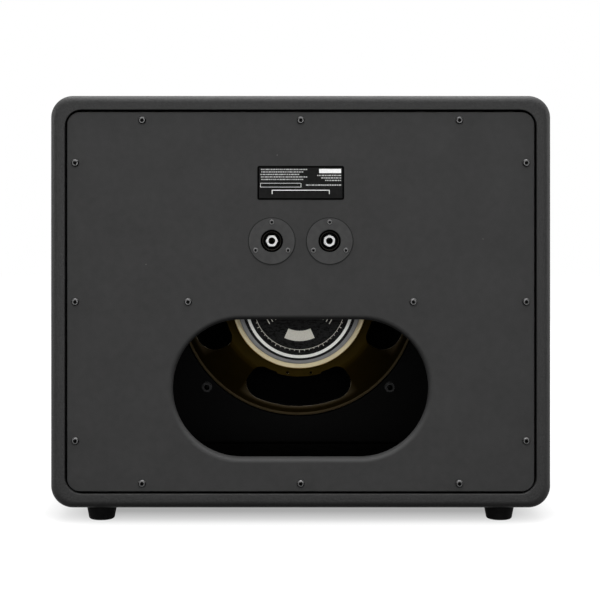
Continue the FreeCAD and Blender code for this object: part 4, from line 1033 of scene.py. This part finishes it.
class Print:
    """Flat ink shapes in the XZ plane, gathered in one thin closed mesh."""

    def __init__(self, face_y, centre):
        self.face_y = face_y
        self.centre = centre
        self.points = []
        self.faces = []

    def strip(self, inner, outer, closed=False):
        """A band between two lines of (x, z) points of equal length."""
        first = len(self.points)
        count = len(inner)
        for y in (self.face_y, self.face_y + ink_thickness):
            for line in (inner, outer):
                self.points += [Vector((self.centre[0] + x, y, self.centre[1] + z)) for x, z in line]
        back_in, back_out, top_in, top_out = (first + index * count for index in range(4))
        for here in range(count if closed else count - 1):
            there = (here + 1) % count
            self.faces += [(top_in + here, top_out + here, top_out + there, top_in + there),
                           (back_in + there, back_out + there, back_out + here, back_in + here),
                           (top_in + there, back_in + there, back_in + here, top_in + here),
                           (top_out + here, back_out + here, back_out + there, top_out + there)]
        if not closed:
            end = count - 1
            self.faces += [(top_in, back_in, back_out, top_out),
                           (top_out + end, back_out + end, back_in + end, top_in + end)]

    def bar(self, x_low, x_high, z_low, z_high):
        self.strip([(x_low, z_low), (x_high, z_low)], [(x_low, z_high), (x_high, z_high)])

    def outline(self, x_low, x_high, z_low, z_high, line):
        for z in (z_low, z_high - line):
            self.bar(x_low, x_high, z, z + line)
        for x in (x_low, x_high - line):
            self.bar(x, x + line, z_low + line, z_high - line)

    def sector(self, inner, outer, start, end, steps):
        """A part of a flat ring, with its angles in degrees."""
        closed = end - start >= 360
        angles = spread(start, end, steps + 1)[:-1] if closed else spread(start, end, steps + 1)
        rays = [(math.cos(math.radians(angle)), math.sin(math.radians(angle))) for angle in angles]
        lines = [[(radius * x, radius * z) for x, z in rays] for radius in (inner, outer)]
        self.strip(*lines, closed)

    def ring(self, inner, outer, steps):
        self.sector(inner, outer, 0, 360, steps)

    def dashes(self, start, end, top, height, seed):
        """A row of dashes of uneven length, which stands for a line of small print."""
        x = start
        while x < end - row_end:
            length = dash_length + dash_unevenness * noise.noise(Vector((x / MM, seed, 0.5)))
            stop = min(end, x + max(length, dash_least))
            self.bar(x, stop, top - height, top)
            x = stop + dash_gap

    def piece(self, name, look, slot):
        add_piece(name, self.points, self.faces, look, smooth=False)


def plate_print():
    """Blank fields and rows of dashes on the rating plate, with a bracket towards the two sockets."""
    low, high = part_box("rating_plate")
    ink = Print(high.y, middle_of("rating_plate"))
    small = Print(high.y, middle_of("rating_plate"))
    left = -(high.x - low.x) / 2 + plate_margin
    right = -left
    top = (high.z - low.z) / 2 - plate_margin
    ink.bar(left, left + field_width, top - field_height, top)
    for row in range(long_rows):
        start = right - long_row_length + row_step * (row % long_row_turn)
        small.dashes(start, right, top - row_pitch * row, dash_height, row)
    for row in range(short_rows):
        end = left + short_row_length - row_step * row
        small.dashes(left, end, top - short_row_drop - row_pitch * row, dash_height, row + long_rows)
    outline_top = top - outline_drop
    ink.outline(left + outline_inset, right, outline_top - field_height, outline_top, rule_width / 2)
    small.dashes(left, left + foot_row_length, top - foot_row_drop, foot_row_height, foot_row_seed)
    socket = middle_of("right_jack_nut")[0]
    bracket = top - bracket_drop
    ink.bar(-socket, socket, bracket - rule_width, bracket)
    for x in (-socket, socket - rule_width):
        ink.bar(x, x + rule_width, bracket - bracket_height, bracket - rule_width)
    small.piece("plate_small_print", PALE_INK, "plate_foil")
    ink.piece("plate_print", WHITE_INK, "plate_foil")


def label_print():
    """Plain rings, ticks and blank curved fields on the magnet's label."""
    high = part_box("magnet_label")[1]
    centre = (0, middle_of("magnet_label")[1] - label_drop)
    rim = Print(high.y, centre)
    rim_outside = high.x - label_rim_inset
    rim.ring(rim_outside - label_rim_width, rim_outside, turn_steps)
    rim.piece("label_rim", RIM_INK, "label_paper")
    ink = Print(high.y, centre)
    tick_start = tick_ring_radius + tick_ring_width
    ink.ring(tick_ring_radius, tick_start, turn_steps)
    for tick in range(tick_count):
        length = short_tick if tick % long_tick_every else long_tick
        angle = 360 / tick_count * tick
        ink.sector(tick_start, tick_start + length, angle - tick_half_angle, angle + tick_half_angle, 1)
    for angle in label_field_angles:
        ink.sector(*label_field_radii, angle - label_field_half_angle, angle + label_field_half_angle,
                   label_field_steps)
    for angle in label_row_angles:
        for radius in label_row_radii:
            ink.sector(radius, radius + label_row_width, angle - label_row_half_angle,
                       angle + label_row_half_angle, label_row_steps)
    ink.ring(*hub_radii, hub_steps)
    ink.piece("label_print", CREAM_INK, "label_paper")


# Floor, light and camera

def background_share(tree):
    """One on camera, glossy and transmission rays, which see the plain white surroundings."""
    path = add_node(tree, "LightPath")
    total = path.outputs["Is Camera Ray"]
    for name in ("Is Glossy Ray", "Is Transmission Ray"):
        total = add_node(tree, "Math", {0: total, 1: path.outputs[name]}, operation="MAXIMUM").outputs[0]
    return total


def white_world():
    """A plain world that gives little light and looks white."""
    world = bpy.data.worlds.new("studio")
    bpy.context.scene.world = world
    world.use_nodes = True
    tree = world.node_tree
    plain = tree.nodes["Background"]
    plain.inputs["Color"].default_value = WHITE
    plain.inputs["Strength"].default_value = world_light
    white = add_node(tree, "Background", {"Color": WHITE})
    mix = add_node(tree, "MixShader", {0: background_share(tree), 1: plain.outputs[0], 2: white.outputs[0]})
    tree.links.new(mix.outputs[0], tree.nodes["World Output"].inputs["Surface"])


def floor_lift_with_painted_shadow(tree):
    """How much the floor is lifted to white: least under the object, where this paints a shadow, and one away
    from it.
    """
    high = cad_box[1]
    painted_shadow_core = (high[0] - floor_inset, high[1] - floor_inset, 0)
    place = add_node(tree, "NewGeometry").outputs["Position"]
    size = add_node(tree, "VectorMath", {0: place}, operation="ABSOLUTE").outputs[0]
    past = add_node(tree, "VectorMath", {0: size, 1: painted_shadow_core}, operation="SUBTRACT").outputs[0]
    outside = add_node(tree, "VectorMath", {0: past}, operation="MAXIMUM").outputs[0]
    distance = add_node(tree, "VectorMath", {0: outside}, operation="LENGTH").outputs["Value"]
    share = add_node(tree, "Math", {0: distance, 1: floor_reach}, operation="DIVIDE").outputs[0]
    return add_ramp(tree, share, floor_lift_and_painted_shadow_stops)


def floor():
    """A pale floor that keeps the shadow, with a painted shadow under the object, and goes to plain white
    away from the object.
    """
    corners = [(-floor_half, -floor_half, 0), (floor_half, -floor_half, 0),
               (floor_half, floor_half, 0), (-floor_half, floor_half, 0)]
    mesh = bpy.data.meshes.new("floor")
    mesh.from_pydata(corners, [], [(0, 1, 2, 3)])
    look = bpy.data.materials.new("floor")
    look.use_nodes = True
    tree = look.node_tree
    tree.nodes.remove(tree.nodes["Principled BSDF"])
    matt = add_node(tree, "BsdfDiffuse", {"Color": (*grey(floor_color), 1)})
    lift = add_node(tree, "Math", {0: background_share(tree), 1: floor_lift_with_painted_shadow(tree)}, operation="MULTIPLY")
    glow = add_node(tree, "Emission", {"Strength": lift.outputs[0]})
    both = add_node(tree, "AddShader", {0: matt.outputs[0], 1: glow.outputs[0]})
    tree.links.new(both.outputs[0], tree.nodes["Material Output"].inputs["Surface"])
    mesh.materials.append(look)
    plane = bpy.data.objects.new("floor", mesh)
    bpy.context.scene.collection.objects.link(plane)


def softbox(name, place, target, size, power):
    """A large rectangular lamp that faces a point."""
    lamp = bpy.data.lights.new(name, "AREA")
    lamp.shape = "RECTANGLE"
    lamp.size, lamp.size_y = size
    lamp.energy = power
    holder = bpy.data.objects.new(name, lamp)
    holder.location = place
    holder.rotation_euler = (Vector(target) - Vector(place)).to_track_quat("-Z", "Y").to_euler()
    holder.visible_camera = False
    bpy.context.scene.collection.objects.link(holder)


def camera():
    """The photograph's view, which looks level at the back of the object."""
    lens = bpy.data.cameras.new("camera")
    lens.lens = camera_lens
    lens.sensor_width = camera_sensor
    lens.shift_x, lens.shift_y = camera_shift
    holder = bpy.data.objects.new("camera", lens)
    holder.location = camera_place
    holder.rotation_euler = [math.radians(angle) for angle in camera_turn]
    bpy.context.scene.collection.objects.link(holder)
    bpy.context.scene.camera = holder


dress_nodes()
vinyl_wrap()
grille_sheet()
surround_piece()
spider_piece()
tinsel_piece()
plate_print()
label_print()

white_world()
floor()
for lamp_name, settings in lamps.items():
    softbox(lamp_name, *settings)
camera()
bpy.context.scene.view_settings.view_transform = "Standard"
